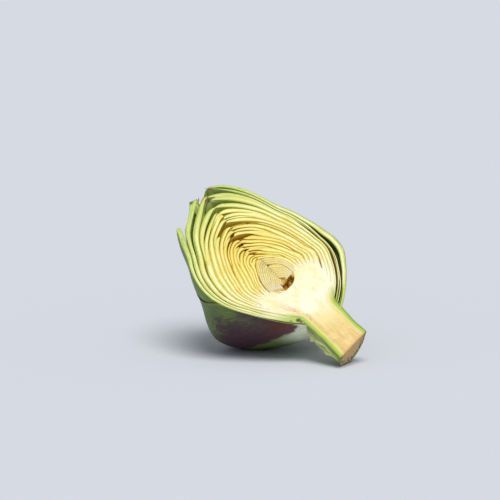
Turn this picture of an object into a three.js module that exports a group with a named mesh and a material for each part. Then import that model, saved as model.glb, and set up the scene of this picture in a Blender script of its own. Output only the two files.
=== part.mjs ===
// Halved globe artichoke, millimetres, +Z up.
// One half of a flower head cut lengthwise through its stem: the heart with its stem, the choke,
// and the bracts (the scale leaves), each leaf a closed body of its own.
//
// Head frame: h runs up the axis from the cut stem end, rho is the distance from the axis and
// th the angle round it.  The cut plane holds th = 0 and th = PI; the half that is kept is
// 0 <= th <= PI, under the plane.
import * as THREE from 'three';

// ---------------------------------------------------------------- driving dimensions
const LEAVES = 56;              // bracts laid round the whole head before it is cut
const TURN = 137.508;           // degrees between one bract and the next
const PHASE = 107.1;            // turns the last, outermost bract onto the belly
const GAP = 0.56;            // clear air between one leaf and the next
const ROOT_GAP = 0.5;           // clear air between a leaf root and the heart
const MIN_THICK = 0.55;         // thinnest leaf edge
const CHOKE_GAP = 0.35;
const STEM_R = 12.8;            // stem radius at the cut end
const AXIS_SLOPE = 31.0;        // degrees the axis falls toward the stem at rest
const ROLL = 20.5;               // degrees the cut face leans to one side at rest
const DEPTH = 1.12;             // depth of the kept half beside its half-width
const SHIFT = 3.3;              // sideways offset of the choke chamber from the stem axis
const LEAN = 0.25;              // lean of the choke chamber to that side
const SLANT = 0.30;             // slope of the cut across the stem's end
const FLAT_DEPTH = 1.1;         // how much the belly is flattened where it rests
// leaf thickness and level, as parts of the way from the choke chamber to the outside
const T_IN = 0.024, T_OUT = 0.056, T_SCALE = 1.05, S_TOP = 0.93;
// angular half-widths
const W_IN = 62, W_OUT = 50;

// nested outlines: u is 0 at the leaf root and 1 at the crown, [u, rho, h]
const OUTER = [[0, 13.4, 33.2], [0.1, 21.6, 41.0], [0.2, 30.8, 51.6], [0.35, 41.0, 65.9], [0.5, 45.6, 80.9],
  [0.62, 44, 96.4], [0.75, 37.2, 112], [0.87, 25.5, 128.5], [1, 1.5, 147.5]];
const INNER = [[0, 10.5, 61.3], [0.1, 11, 63.5], [0.2, 11.3, 65.2], [0.35, 11, 68.8], [0.5, 9.8, 72.1],
  [0.62, 8.2, 74.6], [0.75, 5.9, 77.2], [0.87, 3.4, 79.1], [1, 0.6, 80.9]];
const BASE_R = 11.5, BASE_H = 7.8;   // swell of the heart between the two outlines

// leaves that differ from the run of the rest: tip height, thickness, lift off the leaf beneath, width, flare
const SPECIAL = {
  55: { th: 123, ut: 0.82, W: 54, W0: 60, Wm: 60, T: 1.1, gap: 0.9, bulge: 0.17, point: 1 },
  54: { th: -15, ut: 0.985, W: 54, T: 1.35, lift: 0.035, point: 0.3 },
  53: { ut: 0.88, flare: 0.12, point: 0.3 },
  52: { ut: 0.80, W: 48, W0: 52, Wm: 56, point: 1 },
  50: { th: 162, ut: 0.985, W: 54, flare: 0.11 },
  47: { ut: 0.88, point: 1 },
  49: { ut: 0.98, W: 56, T: 0.7, flare: 0.09 },
  45: { ut: 0.985, flare: 0.06 },
  44: { th: 24, ut: 0.985, W: 56, flare: 0.06 },
  41: { ut: 0.985, flare: 0.03 },
  34: { gap: 0.7 },
};

// ---------------------------------------------------------------- small helpers
const PI = Math.PI, RAD = PI / 180;
const clamp = (x, a, b) => Math.min(b, Math.max(a, x));
const rnd = (i, k) => { const x = Math.sin(i * 12.9898 + k * 78.233 + 3.7) * 43758.5453; return x - Math.floor(x); };
const interp = (x, xs, ys) => {
  if (x <= xs[0]) return ys[0];
  for (let i = 1; i < xs.length; i++) if (x <= xs[i]) return ys[i - 1] + (ys[i] - ys[i - 1]) * (x - xs[i - 1]) / (xs[i] - xs[i - 1]);
  return ys[ys.length - 1];
};
const wrap = (a) => a - 2 * PI * Math.floor((a + PI) / (2 * PI));

function hermite(tab, u, c) {
  const n = tab.length; let k = 0;
  while (k < n - 2 && u >= tab[k + 1][0]) k++;
  const m = (i) => {
    if (i === 0) return (tab[1][c] - tab[0][c]) / (tab[1][0] - tab[0][0]) * 1.5 - m(1) * 0.5;
    if (i === n - 1) return (tab[n - 1][c] - tab[n - 2][c]) / (tab[n - 1][0] - tab[n - 2][0]) * 1.5 - m(n - 2) * 0.5;
    return (tab[i + 1][c] - tab[i - 1][c]) / (tab[i + 1][0] - tab[i - 1][0]);
  };
  const d = tab[k + 1][0] - tab[k][0], t = (u - tab[k][0]) / d, t2 = t * t, t3 = t2 * t;
  return (2 * t3 - 3 * t2 + 1) * tab[k][c] + (t3 - 2 * t2 + t) * d * m(k)
    + (-2 * t3 + 3 * t2) * tab[k + 1][c] + (t3 - t2) * d * m(k + 1);
}
// a point of the family: s is 0 at the choke chamber and 1 at the outside
function prof(s, u) {
  const b = s > 1 ? 0 : 4 * s * (1 - s) * Math.max(0, 1 - u / 0.55) ** 1.5;
  return [(1 - s) * hermite(INNER, u, 1) + s * hermite(OUTER, u, 1) + BASE_R * b,
    (1 - s) * hermite(INNER, u, 2) + s * hermite(OUTER, u, 2) + BASE_H * b];
}
const inward = (s, u) => (1 - clamp(s, 0, 1)) * (1 - u);
// clear millimetres across a leaf for one unit of s
function metric(s, u) {
  const e = 1e-3, a = prof(s - e, u), b = prof(s + e, u);
  const p = prof(s, clamp(u - e, 0, 1)), q = prof(s, clamp(u + e, 0, 1));
  const dx = (b[0] - a[0]) / (2 * e), dy = (b[1] - a[1]) / (2 * e), ux = q[0] - p[0], uy = q[1] - p[1];
  return Math.abs(dx * uy - dy * ux) / (Math.hypot(ux, uy) + 1e-9);
}

// ---------------------------------------------------------------- the (th, u) field the leaves are draped on
const NT = 120, NU = 60;
const U = Array.from({ length: NU + 1 }, (_, j) => j / NU);
const field = (f) => { const a = []; for (let i = 0; i < NT; i++) { a.push(new Float64Array(NU + 1)); for (let j = 0; j <= NU; j++) a[i][j] = f(i, j); } return a; };
function dilate(H, rt, ru) {
  const A = field((i, j) => { let m = -1e9; for (let k = -rt; k <= rt; k++) m = Math.max(m, H[(i + k + NT) % NT][j]); return m; });
  return field((i, j) => { let m = -1e9; for (let k = -ru; k <= ru; k++) m = Math.max(m, A[i][clamp(j + k, 0, NU)]); return m; });
}
function blur(H, st, su) {
  const mt = Math.ceil(2.5 * st), mu = Math.ceil(2.5 * su);
  const wt = [], wu = []; let a = 0, b = 0;
  for (let k = -mt; k <= mt; k++) { const w = Math.exp(-0.5 * (k / st) ** 2); wt.push(w); a += w; }
  for (let k = -mu; k <= mu; k++) { const w = Math.exp(-0.5 * (k / su) ** 2); wu.push(w); b += w; }
  const A = field((i, j) => { let m = 0; for (let k = -mt; k <= mt; k++) m += wt[k + mt] * H[(i + k + NT) % NT][j]; return m / a; });
  return field((i, j) => { let m = 0; for (let k = -mu; k <= mu; k++) m += wu[k + mu] * A[i][clamp(j + k, 0, NU)]; return m / b; });
}
function sample(F, th, u) {
  const x = ((th / (2 * PI)) * NT + NT) % NT, y = clamp(u, 0, 1) * NU;
  const i = Math.floor(x) % NT, j = Math.min(NU - 1, Math.floor(y)), fx = x - Math.floor(x), fy = y - j, i2 = (i + 1) % NT;
  return (F[i][j] * (1 - fx) + F[i2][j] * fx) * (1 - fy) + (F[i][j + 1] * (1 - fx) + F[i2][j + 1] * fx) * fy;
}

// ---------------------------------------------------------------- leaves
const tau0 = (i) => T_IN + (T_OUT - T_IN) * (i / (LEAVES - 1));
function leafList() {
  let tot = 0; for (let i = 0; i < LEAVES; i++) tot += tau0(i);
  const L = []; let cum = 0;
  for (let i = 0; i < LEAVES; i++) {
    const f = i / (LEAVES - 1), sp = SPECIAL[i] || {};
    const th = wrap((sp.th ?? PHASE + i * TURN + (rnd(i, 1) - 0.5) * 8 * (f < 0.85 ? 1 : 0)) * RAD);
    let ut = 0.98 + 0.02 * rnd(i, 3);
    if (f > 0.7) ut -= ((f - 0.7) / 0.3) ** 1.5 * 0.13 + 0.05 * rnd(i, 5) * (f - 0.7) / 0.3;
    const sn = S_TOP * cum / tot;
    let rmax = 0; for (let k = 0; k <= 40; k++) rmax = Math.max(rmax, prof(Math.min(1, sn + 0.03), k / 40)[0]);
    L.push({ i, f, th, ut: sp.ut ?? ut, W: (sp.W ?? (W_IN + (W_OUT - W_IN) * f + (rnd(i, 2) - 0.5) * 6)) * RAD,
      T: tau0(i) * T_SCALE * (sp.T ?? 1), gap: sp.gap ?? GAP, lift: sp.lift ?? 0, bulge: sp.bulge ?? 0, flare: sp.flare ?? 0, point: sp.point ?? 0, sn, rmax, W0: sp.W0 ?? 62, Wm: sp.Wm ?? 70 });
    cum += tau0(i);
  }
  return L;
}
function halfWidth(b, u) {
  const t = clamp(u / b.ut, 0, 1);
  const lo = 0.7 + 0.3 * clamp(t / 0.42, 0, 1) ** 0.8, x = clamp((t - 0.42) / 0.58, 0, 1);
  const y = b.point;                              // 1 tapers to a point, 0 stays blunt
  const sh = t < 0.42 ? lo : (1 - y) * Math.max(1 - x * x, 0) ** 0.5 + y * Math.max(1 - x ** 1.5, 0) ** 0.9;
  const w = b.W * sh * (b.rmax / Math.max(prof(Math.min(1, b.sn + 0.03), u)[0], 1)) ** 1.1;
  const cap = interp(t, [0, 0.3, 0.7, 1], [b.W0, b.Wm, 150, 150]) * RAD;
  return cap * Math.tanh((w / cap) ** 3) ** (1 / 3);
}
function thick(b, v, u, s) {
  const t = clamp(u / b.ut, 0, 1), vc = clamp(v, -1, 1);
  const a = b.T * (1 - 0.72 * vc * vc) * interp(t, [0, 0.12, 0.4, 0.85, 1], [0.6, 0.66, 0.92, 0.62, 0.3]);
  return Math.max(a, MIN_THICK / metric(s, u));
}
function stack() {
  let H = field(() => 0);
  const out = [];
  for (const b of leafList()) {
    // leaves whose root was all in the other half went with it
    const w0 = halfWidth(b, 0);
    const lo = b.th - w0, hi = b.th + w0;
    const keep = [0, 2 * PI, -2 * PI].some((o) => Math.min(hi + o, PI) - Math.max(lo + o, 0) > 6 * RAD);
    if (!keep) continue;
    const A = blur(dilate(H, 4, 2), 2.0, 1.2), B = dilate(H, 1, 1);
    const G = field((i, j) => {
      const d = Math.max(A[i][j], B[i][j]), u = U[j], t = u / b.ut;
      return Math.max(d + b.gap / metric(Math.max(d, 0.02), u), b.sn)
        + (b.lift + b.bulge * (1 - Math.min(1, Math.abs(wrap(i * 2 * PI / NT - b.th)) / 1.25) ** 2))
        * interp(u, [0, 0.1, 0.28, 0.4, 0.55, 0.78], [0, 0.15, 0.85, 1, 0.3, 0]) + b.flare * clamp((t - 0.7) / 0.3, 0, 1) ** 2;
    });
    for (let j = 0; j <= NU; j++) {
      if (U[j] > b.ut) continue;
      const w = halfWidth(b, U[j]);
      for (let i = 0; i < NT; i++) {
        const v = wrap(i * 2 * PI / NT - b.th) / w;
        if (Math.abs(v) <= 1) H[i][j] = Math.max(H[i][j], G[i][j] + thick(b, v, U[j], G[i][j]));
      }
    }
    out.push({ b, G });
  }
  return out;
}

// ---------------------------------------------------------------- head frame to the resting pose
const CS = Math.cos(AXIS_SLOPE * RAD), SN = Math.sin(AXIS_SLOPE * RAD);
const CR = Math.cos(ROLL * RAD), SR = Math.sin(ROLL * RAD);
// the head is a little flatter on one side, and its crown leans: share taken off that side, and sideways offset
const CROWN = [[0, 0.13, 0.28, 0.4, 0.5, 0.65, 0.8, 0.88, 1], [-3, -5, -5, -3, -1.5, 0, 1, 3, 8]];
const step = (x, a, b) => { const t = clamp((x - a) / (b - a), 0, 1); return t * t * (3 - 2 * t); };
function askew(s, u) {
  const from = 0.55 + 0.25 * step(s, 0.5, 0.8);
  return [interp(u, [0, 0.1, 0.3, 0.45, 0.6, 0.75, 0.9, 1], [0, 0, 0.045, 0.11, 0.13, 0.09, 0.02, 0]), interp(s, ...CROWN) * step(u, from, 1)];
}
// r and h in the head, th round it, k how far inside and low down: the chamber sits askew
function place(r, h, th, k, flat = 0, off = 0) {
  const c = Math.cos(th), side = r * c * (1 - flat * (1 + c) / 2) - SHIFT * k + off, up = -r * Math.sin(th) * (DEPTH - 0.09 * step(h, 60, 105));
  const a = -(h + LEAN * side * k + SLANT * side * (1 - step(h, 0, 16)));
  const w = side * SR + up * CR;
  return [a * CS + w * SN, side * CR - up * SR, -a * SN + w * CS];
}
// shared rows, so that neighbouring leaves are faceted alike
const ROWS = [0, 0.07, 0.15, 0.25, 0.37, 0.49, 0.61, 0.72, 0.82, 0.9, 0.96, 1];
function onRows(s, u) {
  let k = 0; while (k < ROWS.length - 2 && u > ROWS[k + 1]) k++;
  const t = (u - ROWS[k]) / (ROWS[k + 1] - ROWS[k]);
  const a = prof(s, ROWS[k]), b = prof(s, ROWS[k + 1]);
  return [a[0] * (1 - t) + b[0] * t, a[1] * (1 - t) + b[1] * t];
}
function leafPoint(s, u, th) {
  const [r, h] = onRows(s, u);
  return place(r, h, th, inward(s, u), ...askew(s, u));
}
function span(b, u) {
  const w = halfWidth(b, u);
  let th = b.th; if (th < -PI / 2) th += 2 * PI;
  return [clamp(th - w, 0, PI), clamp(th + w, 0, PI)];
}
function solid(name, pos, tri, material) {
  const g = new THREE.BufferGeometry();
  g.setAttribute('position', new THREE.Float32BufferAttribute(pos, 3));
  g.setIndex(tri);
  g.computeVertexNormals();
  const m = new THREE.Mesh(g, material);
  m.name = name;
  return m;
}
function leafMesh(name, item, material, rest) {
  const { b, G } = item;
  const q = Math.hypot(...[0, 1].map((c) => prof(b.sn + 0.02, 0.02)[c] - prof(b.sn + 0.02, 0)[c])) / 0.02;
  const u0 = ROOT_GAP / q;
  let u1 = u0;
  for (let k = 0; k <= 400; k++) {
    const u = u0 + (b.ut - u0) * k / 400, [l, r] = span(b, u);
    if ((r - l) * Math.max(onRows(b.sn, u)[0], 0.5) < 1.0) break;
    u1 = u;
  }
  const us = [u0];
  for (const r of ROWS) if (r > u0 + 0.015 && r < u1 - 0.015) us.push(r);
  us.push(u1);
  let wide = 0; for (const u of us) { const [l, r] = span(b, u); wide = Math.max(wide, (r - l) * onRows(b.sn, u)[0]); }
  const maxAng = Math.max(...us.map((u) => { const [l, r] = span(b, u); return onRows(b.sn, u)[0] > 12 ? (r - l) / RAD : 0; }), 30);
  const NC = clamp(Math.round(maxAng / 16), 3, 9);
  const NR = us.length, pos = [], id = (k, j, c) => (k * NR + j) * (NC + 1) + c;
  for (let k = 0; k < 2; k++) for (let j = 0; j < NR; j++) for (let c = 0; c <= NC; c++) {
    const u = us[j], [l, r] = span(b, u), th = l + (r - l) * c / NC;
    const g = sample(G, th, u), v = wrap(th - b.th) / halfWidth(b, u);
    const p = leafPoint(k ? g + thick(b, v, u, g) : g, u, th);
    if (rest !== undefined) p[2] = Math.max(p[2], rest);
    pos.push(...p);
  }
  const tri = [];
  for (let j = 0; j < NR - 1; j++) for (let c = 0; c < NC; c++) {
    tri.push(id(1, j, c), id(1, j, c + 1), id(1, j + 1, c), id(1, j, c + 1), id(1, j + 1, c + 1), id(1, j + 1, c));
    tri.push(id(0, j, c), id(0, j + 1, c), id(0, j, c + 1), id(0, j, c + 1), id(0, j + 1, c), id(0, j + 1, c + 1));
  }
  const wall = (j0, c0, j1, c1) => tri.push(id(0, j0, c0), id(0, j1, c1), id(1, j0, c0), id(0, j1, c1), id(1, j1, c1), id(1, j0, c0));
  for (let c = 0; c < NC; c++) { wall(0, c, 0, c + 1); wall(NR - 1, c + 1, NR - 1, c); }
  for (let j = 0; j < NR - 1; j++) { wall(j + 1, 0, j, 0); wall(j, NC, j + 1, NC); }
  return solid(name, pos, tri, material);
}

// ---------------------------------------------------------------- heart with its stem
// section of the heart: from the axis under the choke, over the leaf-bearing shoulder, down the stem
function heartSection() {
  const P = [[0, 55.6, 1], [3.5, 55.8, 1], [7, 57.5, 1]];
  for (let k = 0; k <= 14; k++) { const s = k / 14, [r, h] = prof(s, 0); P.push([r, h, inward(s, 0)]); }
  P.push([13.0, 27, 0], [12.4, 20, 0], [12.1, 13, 0], [12.5, 5, 0], [STEM_R, 0, 0], [0, 0, 0]);
  return P;
}
// a section [r, h, k, flat, off] turned through half a circle and closed by its cut face
function halfTurned(name, S, N, material, rest) {
  const n = S.length, pos = [], tri = [], ring = [];
  S.forEach(([r, h, k, flat = 0, off = 0]) => {
    const row = [];
    for (let c = 0; c <= (r === 0 ? 0 : N); c++) { row.push(pos.length / 3); 
      const p = place(r, h, PI * c / N, k, flat, off);
      if (rest !== undefined) p[2] = Math.max(p[2], rest);
      pos.push(...p);
    }
    ring.push(row);
  });
  const at = (k, c) => (ring[k].length === 1 ? ring[k][0] : ring[k][c]);
  for (let k = 0; k < n - 1; k++) for (let c = 0; c < N; c++) {
    const q = [at(k, c), at(k + 1, c), at(k + 1, c + 1), at(k, c + 1)];
    if (q[0] !== q[3]) tri.push(q[0], q[1], q[3]);
    if (q[1] !== q[2]) tri.push(q[1], q[2], q[3]);
  }
  const loop = [], pts = [];
  const edge = (k, sign) => {
    const [r, h, inw, flat = 0, off = 0] = S[k], side = sign * r * (1 - flat * (1 + sign) / 2) - SHIFT * inw + off;
    pts.push(new THREE.Vector2(h + LEAN * side * inw + SLANT * side * (1 - step(h, 0, 16)), side));
  };
  for (let k = 0; k < n; k++) { loop.push(at(k, 0)); edge(k, 1); }
  for (let k = n - 2; k > 0; k--) { loop.push(at(k, N)); edge(k, -1); }
  tri.push(...cutFace(pts, loop));
  return orient(solid(name, pos, tri, material));
}
// flat face closing a half-turned body, wound against its boundary
function cutFace(pts, loop) {
  const way = THREE.ShapeUtils.area(pts) > 0, out = [];
  for (const [a, b, c] of THREE.ShapeUtils.triangulateShape(pts, [])) {
    const s = (pts[b].x - pts[a].x) * (pts[c].y - pts[a].y) - (pts[c].x - pts[a].x) * (pts[b].y - pts[a].y) > 0;
    if (s === way) out.push(loop[a], loop[c], loop[b]); else out.push(loop[a], loop[b], loop[c]);
  }
  return out;
}
// closed bodies are wound to face out
function volume(mesh) {
  const p = mesh.geometry.attributes.position.array, ix = mesh.geometry.index.array; let v = 0;
  for (let k = 0; k < ix.length; k += 3) {
    const [a, b, c] = [ix[k] * 3, ix[k + 1] * 3, ix[k + 2] * 3];
    v += p[a] * (p[b + 1] * p[c + 2] - p[b + 2] * p[c + 1]) - p[a + 1] * (p[b] * p[c + 2] - p[b + 2] * p[c]) + p[a + 2] * (p[b] * p[c + 1] - p[b + 1] * p[c]);
  }
  return v / 6;
}
function orient(mesh) {
  if (volume(mesh) < 0) {
    const ix = mesh.geometry.index.array;
    for (let k = 0; k < ix.length; k += 3) [ix[k + 1], ix[k + 2]] = [ix[k + 2], ix[k + 1]];
    mesh.geometry.computeVertexNormals();
  }
  return mesh;
}

// ---------------------------------------------------------------- choke: the tuft of florets in the chamber
function chokeSection() {
  // dome between the heart's hollow and the innermost leaves
  const S = [[0, 55.6 + CHOKE_GAP, 1], [3.5, 55.8 + CHOKE_GAP, 1], [6.6, 57.5 + CHOKE_GAP, 1], [8.9, 60.2 + CHOKE_GAP, 1]];
  for (const u of [0.1, 0.2, 0.35, 0.5, 0.62, 0.75, 0.87]) { const [r, h] = prof(0, u); S.push([r - 0.9, h - 0.4, inward(0, u), ...askew(0, u)]); }
  S.push([0, prof(0, 1)[1] - 1.2, inward(0, 1), ...askew(0, 1)]);
  return S;
}

// ---------------------------------------------------------------- assembly
const mat = (hex, roughness) => new THREE.MeshStandardMaterial({ color: hex, roughness, metalness: 0 });
const LOOK = {
  outer: () => mat(0x7f9a52, 0.55),
  middle: () => mat(0xa9b95c, 0.5),
  inner: () => mat(0xe6d476, 0.45),
  heart: () => mat(0xf3ebc4, 0.45),
  choke: () => mat(0xefdfae, 0.8),
};
function build(rest) {
  const group = new THREE.Group();
  group.name = 'artichoke';
  group.add(halfTurned('heart_and_stem', heartSection(), 14, LOOK.heart(), rest));
  group.add(halfTurned('choke', chokeSection(), 12, LOOK.choke()));
  const leaves = stack().reverse();             // outermost first
  leaves.forEach((item, k) => {
    const look = item.b.f > 0.72 ? LOOK.outer() : item.b.f > 0.45 ? LOOK.middle() : LOOK.inner();
    group.add(orient(leafMesh(`bract_${String(k + 1).padStart(2, '0')}`, item, look, rest)));
  });
  return group;
}
// settle it: the lowest point of the belly, less the flat, is the table, and the stem's end touches it too
const first = build();
const low = Math.min(...first.children.filter((m) => m.name !== 'heart_and_stem').map((m) => new THREE.Box3().setFromObject(m).min.z));
const table = low + FLAT_DEPTH;
const model = build(table);
const b2 = new THREE.Box3().setFromObject(model);
const cx = (b2.min.x + b2.max.x) / 2, cy = (b2.min.y + b2.max.y) / 2;
model.children.forEach((m) => m.geometry.translate(-cx, -cy, -b2.min.z));

export default model;
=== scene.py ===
import math

import bpy
import numpy as np
from mathutils import Matrix, Vector

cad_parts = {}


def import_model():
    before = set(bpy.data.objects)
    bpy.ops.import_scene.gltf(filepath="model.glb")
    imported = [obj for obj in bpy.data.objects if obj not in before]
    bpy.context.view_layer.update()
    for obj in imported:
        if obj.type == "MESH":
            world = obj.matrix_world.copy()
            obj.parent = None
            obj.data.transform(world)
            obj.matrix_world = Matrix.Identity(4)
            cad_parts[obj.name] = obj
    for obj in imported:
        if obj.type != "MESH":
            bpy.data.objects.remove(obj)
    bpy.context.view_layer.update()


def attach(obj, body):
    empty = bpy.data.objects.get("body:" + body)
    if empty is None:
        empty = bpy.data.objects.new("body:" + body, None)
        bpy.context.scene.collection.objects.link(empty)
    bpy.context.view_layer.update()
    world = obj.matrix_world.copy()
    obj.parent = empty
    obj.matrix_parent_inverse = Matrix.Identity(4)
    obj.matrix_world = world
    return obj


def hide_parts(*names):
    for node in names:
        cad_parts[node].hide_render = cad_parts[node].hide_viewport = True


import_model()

# ---------------------------------------------------------------------------
# Half of a globe artichoke lying on its back.
# Lengths in the geometry below are millimetres until a mesh is written.
#   r, h   distance from the head's axis, height above the stem's cut end
#   th     angle round the axis, 0..pi is the half that was kept
#   s, u   the family of leaf curves: s 0 inside .. 1 outside, u 0 root .. 1 tip
# ---------------------------------------------------------------------------
PI = math.pi
RAD = PI / 180
AXIS_SLOPE, ROLL = 31.0, 20.5
AXIS_END = np.array([65.505, 0.032, 12.296])      # centre of the stem's cut end
LEAVES, TURN, PHASE = 56, 137.508, 107.1
GAP, MIN_THICK, SHIFT, LEAN, DEPTH, SLANT = 0.56, 0.55, 3.3, 0.25, 1.12, 0.30
T_IN, T_OUT, T_SCALE, S_TOP = 0.024, 0.056, 1.05, 0.93
W_IN, W_OUT = 62, 50
BASE_R, BASE_H = 11.5, 7.8
OUTER = np.array([[0, 13.4, 33.2], [0.1, 21.6, 41.0], [0.2, 30.8, 51.6], [0.35, 41.0, 65.9], [0.5, 45.6, 80.9],
                  [0.62, 44, 96.4], [0.75, 37.2, 112], [0.87, 25.5, 128.5], [1, 1.5, 147.5]], float)
INNER = np.array([[0, 10.5, 61.3], [0.1, 11, 63.5], [0.2, 11.3, 65.2], [0.35, 11, 68.8], [0.5, 9.8, 72.1],
                  [0.62, 8.2, 74.6], [0.75, 5.9, 77.2], [0.87, 3.4, 79.1], [1, 0.6, 80.9]], float)
SPECIAL = {
    55: dict(th=123, ut=0.82, W=54, W0=60, Wm=60, T=1.1, gap=0.9, bulge=0.17, point=1),
    54: dict(th=-15, ut=0.985, W=54, T=1.35, lift=0.035, point=0.3),
    53: dict(ut=0.88, flare=0.12, point=0.3),
    52: dict(ut=0.80, W=48, W0=52, Wm=56, point=1),
    50: dict(th=162, ut=0.985, W=54, flare=0.11, Wt=20),
    47: dict(ut=0.88, point=1),
    49: dict(ut=0.98, W=56, T=0.7, flare=0.09),
    45: dict(ut=0.985, flare=0.06),
    44: dict(th=24, ut=0.985, W=56, flare=0.06),
    41: dict(ut=0.985, flare=0.03),
    34: dict(gap=0.7),
}

CS, SN = math.cos(AXIS_SLOPE * RAD), math.sin(AXIS_SLOPE * RAD)
CR, SR = math.cos(ROLL * RAD), math.sin(ROLL * RAD)
E_A = np.array([CS, 0.0, -SN])                     # along the axis, to the stem
E_B = np.array([SR * SN, CR, SR * CS])             # across the cut face
E_N = np.array([CR * SN, -SR, CR * CS])            # out of the cut face


def world(a, side, up):
    a, side, up = (np.asarray(x, float) for x in (a, side, up))
    return AXIS_END + a[..., None] * E_A + side[..., None] * E_B + up[..., None] * E_N


# ------------------------------------------------------------------ leaf family
def hermite(tab, u, c):
    x = tab[:, 0]; y = tab[:, c]; n = len(x); u = np.asarray(u, float)
    k = np.clip(np.searchsorted(x, u, side="right") - 1, 0, n - 2)
    d = x[k + 1] - x[k]; t = (u - x[k]) / d
    m = np.empty(n)
    m[1:-1] = (y[2:] - y[:-2]) / (x[2:] - x[:-2])
    m[0] = (y[1] - y[0]) / (x[1] - x[0]) * 1.5 - m[1] * 0.5
    m[-1] = (y[-1] - y[-2]) / (x[-1] - x[-2]) * 1.5 - m[-2] * 0.5
    t2 = t * t; t3 = t2 * t
    return ((2 * t3 - 3 * t2 + 1) * y[k] + (t3 - 2 * t2 + t) * d * m[k]
            + (-2 * t3 + 3 * t2) * y[k + 1] + (t3 - t2) * d * m[k + 1])


def prof(s, u):
    s = np.asarray(s, float); u = np.asarray(u, float)
    b = np.where(s > 1, 0, 4 * s * (1 - s) * np.maximum(0, 1 - u / 0.55) ** 1.5)
    return ((1 - s) * hermite(INNER, u, 1) + s * hermite(OUTER, u, 1) + BASE_R * b,
            (1 - s) * hermite(INNER, u, 2) + s * hermite(OUTER, u, 2) + BASE_H * b)


def inward(s, u):
    return (1 - np.clip(s, 0, 1)) * (1 - np.clip(u, 0, 1))


THICKER = {54: ([0, 0.06, 0.16, 0.45, 0.7, 0.95], [0, 0.3, 1.9, 2.1, 2.3, 2.6]),
           50: ([0, 0.06, 0.2, 0.4, 0.7, 0.85, 0.96], [0, 0.0, 0.6, 0.9, 1.3, 1.4, 1.2]),
           53: ([0, 0.06, 0.2, 0.5, 0.7, 0.87], [0, 0.0, 1.2, 2.3, 3.6, 4.2])}
CROWN = ([0, 0.13, 0.28, 0.4, 0.5, 0.65, 0.8, 0.88, 1], [-3, -5, -5, -3, -1.5, 0, 1, 3, 8])


def askew(s, u):
    """The head is flatter on one side and its crown leans: share taken off that side, sideways offset."""
    t = np.clip((np.asarray(s, float) - 0.5) / 0.3, 0, 1)
    start = 0.55 + 0.25 * t * t * (3 - 2 * t)
    x = np.clip((u - start) / (1 - start), 0, 1)
    return (np.interp(u, [0, 0.1, 0.3, 0.45, 0.6, 0.75, 0.9, 1], [0, 0, 0.045, 0.11, 0.13, 0.09, 0.02, 0]),
            np.interp(s, *CROWN) * x * x * (3 - 2 * x))


def depth(h):
    t = np.clip((np.asarray(h, float) - 60) / 45, 0, 1)
    return DEPTH - 0.09 * t * t * (3 - 2 * t)


def metric(s, u):
    e = 1e-3; s = np.asarray(s, float); u = np.asarray(u, float)
    r0, h0 = prof(s - e, u); r1, h1 = prof(s + e, u)
    p = prof(s, np.clip(u - e, 0, 1)); q = prof(s, np.clip(u + e, 0, 1))
    dx = (r1 - r0) / (2 * e); dy = (h1 - h0) / (2 * e); ux = q[0] - p[0]; uy = q[1] - p[1]
    return np.abs(dx * uy - dy * ux) / (np.hypot(ux, uy) + 1e-9)


NT, NU = 120, 60
TH = np.arange(NT) * 2 * PI / NT
U = np.arange(NU + 1) / NU
TT, UU = np.meshgrid(TH, U, indexing="ij")


def dilate(H, rt, ru):
    A = H.copy()
    for k in range(1, rt + 1):
        A = np.maximum(A, np.maximum(np.roll(H, k, 0), np.roll(H, -k, 0)))
    idx = np.arange(NU + 1); B = A.copy()
    for k in range(-ru, ru + 1):
        B = np.maximum(B, A[:, np.clip(idx + k, 0, NU)])
    return B


def blur(H, st, su):
    mt = int(np.ceil(2.5 * st)); mu = int(np.ceil(2.5 * su))
    w = np.exp(-0.5 * (np.arange(-mt, mt + 1) / st) ** 2); w /= w.sum()
    A = sum(w[k + mt] * np.roll(H, -k, 0) for k in range(-mt, mt + 1))
    w = np.exp(-0.5 * (np.arange(-mu, mu + 1) / su) ** 2); w /= w.sum()
    idx = np.arange(NU + 1)
    return sum(w[k + mu] * A[:, np.clip(idx + k, 0, NU)] for k in range(-mu, mu + 1))


def rnd(i, k):
    x = math.sin(i * 12.9898 + k * 78.233 + 3.7) * 43758.5453
    return x - math.floor(x)


def wrap(a):
    return a - 2 * PI * np.floor((a + PI) / (2 * PI))


def smooth(x, a, b):
    t = np.clip((np.asarray(x, float) - a) / (b - a), 0, 1)
    return t * t * (3 - 2 * t)


def leaf_list():
    t0 = [T_IN + (T_OUT - T_IN) * (i / (LEAVES - 1)) for i in range(LEAVES)]
    tot = sum(t0); cum = 0; L = []
    for i in range(LEAVES):
        f = i / (LEAVES - 1); sp = SPECIAL.get(i, {})
        th = wrap(sp.get("th", PHASE + i * TURN + (rnd(i, 1) - 0.5) * 8 * (1 if f < 0.85 else 0)) * RAD)
        ut = 0.98 + 0.02 * rnd(i, 3)
        if f > 0.7:
            ut -= ((f - 0.7) / 0.3) ** 1.5 * 0.13 + 0.05 * rnd(i, 5) * (f - 0.7) / 0.3
        sn = S_TOP * cum / tot
        rmax = max(0, prof(min(1, sn + 0.03), np.arange(41) / 40)[0].max())
        L.append(dict(i=i, f=f, th=float(th), ut=sp.get("ut", ut),
                      W=sp.get("W", W_IN + (W_OUT - W_IN) * f + (rnd(i, 2) - 0.5) * 6) * RAD,
                      T=t0[i] * T_SCALE * sp.get("T", 1), gap=sp.get("gap", GAP), lift=sp.get("lift", 0),
                      bulge=sp.get("bulge", 0), flare=sp.get("flare", 0), point=sp.get("point", 0),
                      sn=sn, rmax=rmax, W0=sp.get("W0", 62), Wm=sp.get("Wm", 70), Wt=sp.get("Wt", 150)))
        cum += t0[i]
    return L


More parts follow.
